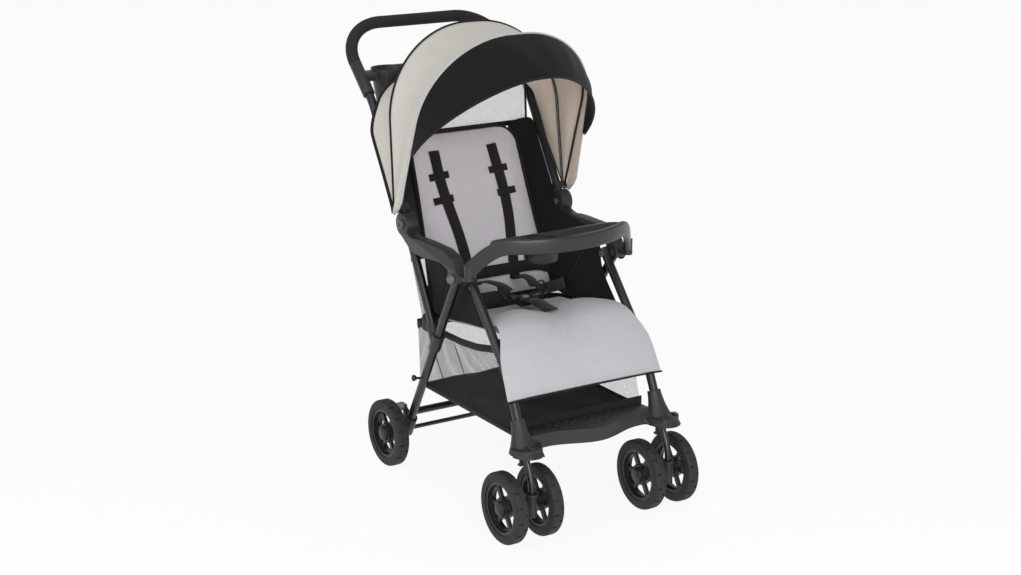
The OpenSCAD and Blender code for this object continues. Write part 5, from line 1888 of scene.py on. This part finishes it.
@dataclass
class ChildTray:
    """Child tray: a bowed band bent down to the armrest clips, a dished pan and a see-through cup well."""

    front: float = 0.268
    back: float = 0.168
    top: float = 0.608
    tilt: float = 0.13
    floor: float = 0.584
    band_tall: float = 0.032
    band_thick: float = 0.012
    bend: float = -0.228
    clip: tuple[float, float, float] = (0.200, -0.166, 0.5224)
    clip_tall: float = 0.0266
    knuckle: float = 0.010
    bore: float = 0.0042
    half: float = 0.158
    corner: float = 0.026
    rim: float = 0.006
    skirt: float = 0.014
    wall: float = 0.003
    well: tuple[float, float] = (-0.053, -0.2115)
    well_radius: float = 0.035
    well_foot: float = 0.548

    def bow(self) -> tuple[float, float]:
        """Returns the radius of the tray's front and the y of its centre."""
        sag = self.front + self.clip[1]
        radius = (self.clip[0] ** 2 + sag**2) / (2 * sag)
        return radius, radius - self.front

    def build(self, finishes: Finishes) -> None:
        """Builds and dresses the tray."""
        parts = [self.band(), self.pan()] + [self.clasp(name, side) for name, side in SIDES.items()]
        for part in parts:
            Piece.dress(part, finishes["tray_black"])
        body = Maker.join("child_tray_body", parts)
        body.data.set_sharp_from_angle(angle=math.radians(40))
        Piece.settle(body, Body.CHILD_TRAY, "charcoal", ["child_tray"])
        r, tall = self.well_radius + self.wall, self.floor + 0.004 - self.well_foot
        outside = [(0.0, 0.0), (r - 0.008, 0.0), (r - 0.004, 0.002), (r - 0.002, 0.006), (r, tall)]
        brim = [(r + 0.003, tall + 0.001), (r + 0.003, tall + 0.004), (r - 0.003, tall + 0.004)]
        inside = [(r - 0.005, 0.008), (r - 0.008, 0.004), (0.0, 0.003)]
        cup = Maker.turned("tray_cup", (*self.well, self.well_foot), UPWARD, outside + brim + inside, 48)
        Piece.settle(Piece.dress(cup, finishes["smoked"]), Body.CHILD_TRAY, "charcoal")

    def band(self) -> Object:
        """Sweeps the band from one clip round the front to the other."""
        radius, middle = self.bow()
        end = math.asin(self.clip[0] / radius)
        turn = np.linspace(-end, end, 121)
        x, y = radius * np.sin(turn), middle - radius * np.cos(turn)
        t = np.clip((y - self.bend) / (self.clip[1] - self.bend), 0, 1)
        level = self.top - self.band_tall / 2
        z = level - (level - self.clip[2] - self.clip_tall / 2) * t**2 * (1.6 - 0.6 * t)
        path = np.stack([x, y, z], 1)
        along = np.gradient(path, axis=0)
        along /= np.linalg.norm(along, axis=1, keepdims=True)
        out = np.stack([np.sin(turn), -np.cos(turn), np.zeros_like(turn)], 1)
        up = np.cross(along, -out)
        up *= np.sign(up[:, 2:])
        ring = circle(28)[None, :, None]
        wide = self.band_thick / 2 * squared(np.cos(ring), 0.4)
        tall = self.band_tall / 2 * squared(np.sin(ring), 0.4)
        points = path[:, None] + wide * out[:, None] + tall * up[:, None]
        return Maker.outward(Maker.cap(Maker.grid("tray_band", points, wrap=True), 28))

    def pan(self) -> Object:
        """Builds the dished pan with a rim all round, and cuts the hole for the cup."""
        radius, middle = self.bow()
        u = np.sin(np.linspace(-math.pi / 2, math.pi / 2, 72))[None, :]
        t = (1 - np.cos(np.linspace(0, math.pi, 44)[:, None])) / 2
        x = u * self.half
        ahead = middle - np.sqrt((radius - self.band_thick * 0.35) ** 2 - x**2)
        past = np.clip(np.abs(x) - (self.half - self.corner), 0, self.corner)
        behind = -self.back - self.corner + np.sqrt(self.corner**2 - past**2)
        y = ahead + (behind - ahead) * t
        edge = np.minimum(np.minimum(y - ahead, behind - y), self.half - np.abs(x))
        lip = self.top - 0.002 - self.tilt * (y + self.front)
        z = self.floor + (lip - self.floor) * (1 - ease((edge - self.rim) / 0.008))
        grid = np.stack(np.broadcast_arrays(x, y, z), -1)
        drop = [grid[-1:] + [0.0, 0.0015, -self.skirt * k] for k in (0.15, 1.0)]
        pan = Maker.thicken(Maker.outward(Maker.grid("tray_pan", np.concatenate([grid] + drop))), self.wall)
        wide = self.well_radius + self.wall
        profile = [(wide, 0.0), (wide, 0.05)]
        cutter = Maker.turned("tray_cutter", (*self.well, self.floor - 0.02), UPWARD, profile, 48)
        hole = pan.modifiers.new("hole", "BOOLEAN")
        hole.operation, hole.object, hole.solver = "DIFFERENCE", cutter, "EXACT"
        Maker.bake(pan)
        bpy.data.objects.remove(cutter)
        return pan

    def clasp(self, name: str, side: float) -> Object:
        """Builds the knuckle round an armrest's pin; the right one is open to the rear.

        Args:
            name: The side's name.
            side: 1 for the left one, -1 for the right one.

        Returns:
            The knuckle.
        """
        gap = 0.0 if side > 0 else 0.55
        turn = np.linspace(math.pi / 2 + gap, 2.5 * math.pi - gap, 49)
        low, high = self.clip[2], self.clip[2] + self.clip_tall
        section = [(self.bore, low), (self.knuckle, low), (self.knuckle, high), (self.bore, high)]
        x, y = side * self.clip[0], self.clip[1]
        ring = np.stack([np.stack([x + r * np.cos(turn), y + r * np.sin(turn), np.full_like(turn, z)], 1)
                         for r, z in section], 1)
        return Maker.outward(Maker.cap(Maker.grid(f"clasp_{name}", ring, wrap=True), 4))


@dataclass
class FootrestForm:
    """Reshapes the footrest: a waved front edge, and a flared bell in place of each cone."""

    rear: float = -0.285
    plate_half: float = 0.150
    old_front: float = -0.372
    old_radius: float = 0.2889
    front: float = -0.362
    wave: float = 0.030
    wave_half: float = 0.115
    leg_x: float = 0.172
    foot: tuple[float, float] = (-0.3362, 0.190)
    slant: float = 0.4608
    bell_low: float = 0.033
    bell_top: float = 0.0148
    bell_tall: float = 0.066
    inside: float = 0.0118
    outside: float = 0.0376
    near: float = 1e-5
    slices: tuple[tuple[int, float, float, float], ...] = (
        (0, -0.144, 0.144, 0.008), (2, 0.194, 0.254, 0.005))

    def apply(self, work: bmesh.types.BMesh) -> None:
        """Cuts the mesh into slices and moves their points."""
        for axis, low, high, step in self.slices:
            normal = Vector((0.0, 0.0, 0.0))
            normal[axis] = 1.0
            for at in np.arange(low, high, step):
                whole = work.verts[:] + work.edges[:] + work.faces[:]
                bmesh.ops.bisect_plane(work, geom=whole, plane_co=normal * float(at), plane_no=normal)
        for vert in work.verts:
            x, y, z = vert.co
            reach = math.hypot(abs(x) - self.leg_x, y - self.foot[0] - self.slant * (z - self.foot[1]))
            if z >= self.foot[1] - self.near and self.inside < reach < self.outside:
                self.flare(vert, reach)
            elif abs(x) < self.plate_half + self.near and y < self.rear:
                old = self.old_front + self.old_radius - math.sqrt(self.old_radius**2 - x * x)
                new = self.front + self.wave * (1 - math.cos(math.pi * min(abs(x) / self.wave_half, 1.0))) / 2
                vert.co.y = self.rear + (y - self.rear) * (new - self.rear) / (old - self.rear)
        bmesh.ops.remove_doubles(work, verts=work.verts, dist=2e-5)

    def flare(self, vert: bmesh.types.BMVert, reach: float) -> None:
        """Moves a point of a cone onto the bell."""
        side = math.copysign(self.leg_x, vert.co.x)
        tall = vert.co.z - self.foot[1]
        middle = self.foot[0] + self.slant * tall
        radius = self.bell_top + (self.bell_low - self.bell_top) * max(0.0, 1 - tall / self.bell_tall) ** 2
        vert.co.x = side + (vert.co.x - side) * radius / reach
        vert.co.y = middle + (vert.co.y - middle) * radius / reach


@dataclass
class Mouldings:
    """Moulded pieces: copies of their CAD nodes with rounded edges."""

    widths: tuple[tuple[float, tuple[str, ...]], ...] = (
        (0.003, both("armrest")), (0.002, ("footrest",)), (0.0016, ("parent_tray",)),
        (0.0012, both("brake_pedal")), (0.0015, (*both("wheel_housing"), "leg_brackets")),
        (0.0012, both("caster_fork")))
    slots: dict[str, str] = field(default_factory=lambda: dict.fromkeys(both("brake_pedal"), "pedal_grey"))
    forms: dict[str, FootrestForm] = field(default_factory=lambda: {"footrest": FootrestForm()})
    crease: float = 32.0

    def build(self, frame: dict, owner: dict[str, str]) -> None:
        """Builds the rounded copies.

        Args:
            owner: The body of each CAD node.
        """
        for name, width in ((name, width) for width, names in self.widths for name in names):
            node = frame["nodes"][name]
            obj = self.rounded(node, width, self.forms.get(name))
            Piece.dress(obj, node.data.materials[0])
            Piece.settle(obj, owner[name], self.slots.get(name, "charcoal"), [name])

    def rounded(self, node: Object, width: float, form: FootrestForm | None) -> Object:
        """Copies a CAD node and rounds its edges.

        Args:
            node: The CAD node.
            width: The width of the rounding.
            form: What reshapes the copy first, if anything does.

        Returns:
            The rounded copy.
        """
        work = bmesh.new()
        work.from_mesh(node.data)
        bmesh.ops.remove_doubles(work, verts=work.verts, dist=1e-6)
        bmesh.ops.dissolve_limit(work, angle_limit=math.radians(0.5), verts=work.verts, edges=work.edges)
        if form:
            form.apply(work)
        data = bpy.data.meshes.new(node.name + "_rounded")
        work.to_mesh(data)
        work.free()
        obj = link_new(node.name + "_rounded", data)
        edge = obj.modifiers.new("edge", "BEVEL")
        edge.width, edge.segments = width, 2
        edge.limit_method, edge.angle_limit = "ANGLE", math.radians(self.crease)
        edge.use_clamp_overlap = True
        edge.harden_normals = False
        Maker.bake(obj)
        obj.data.shade_smooth()
        obj.data.set_sharp_from_angle(angle=math.radians(self.crease))
        return obj


def main() -> None:
    """Builds every sub-assembly in order."""
    logging.basicConfig(level=logging.INFO, format="%(name)s: %(message)s")
    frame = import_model()
    finishes = Finishes()
    sewing = Stitching()
    Stage().build()
    HardParts().dress(frame["nodes"], finishes)
    Canopy().build(finishes)
    SeatBack().build(finishes)
    SeatBase().build(finishes)
    CalfPanel().build(finishes, sewing)
    Wings().build(finishes)
    Basket().build(finishes)
    Harness().build(finishes)
    bodies = frame["record"]["behaviour"]["bodies"]
    owner = {node: body for body, nodes in bodies.items() for node in nodes}
    Fittings().build(owner, finishes)
    ChildTray().build(finishes)
    Mouldings().build(frame, owner)
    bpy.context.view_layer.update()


if __name__ == "__main__":
    main()
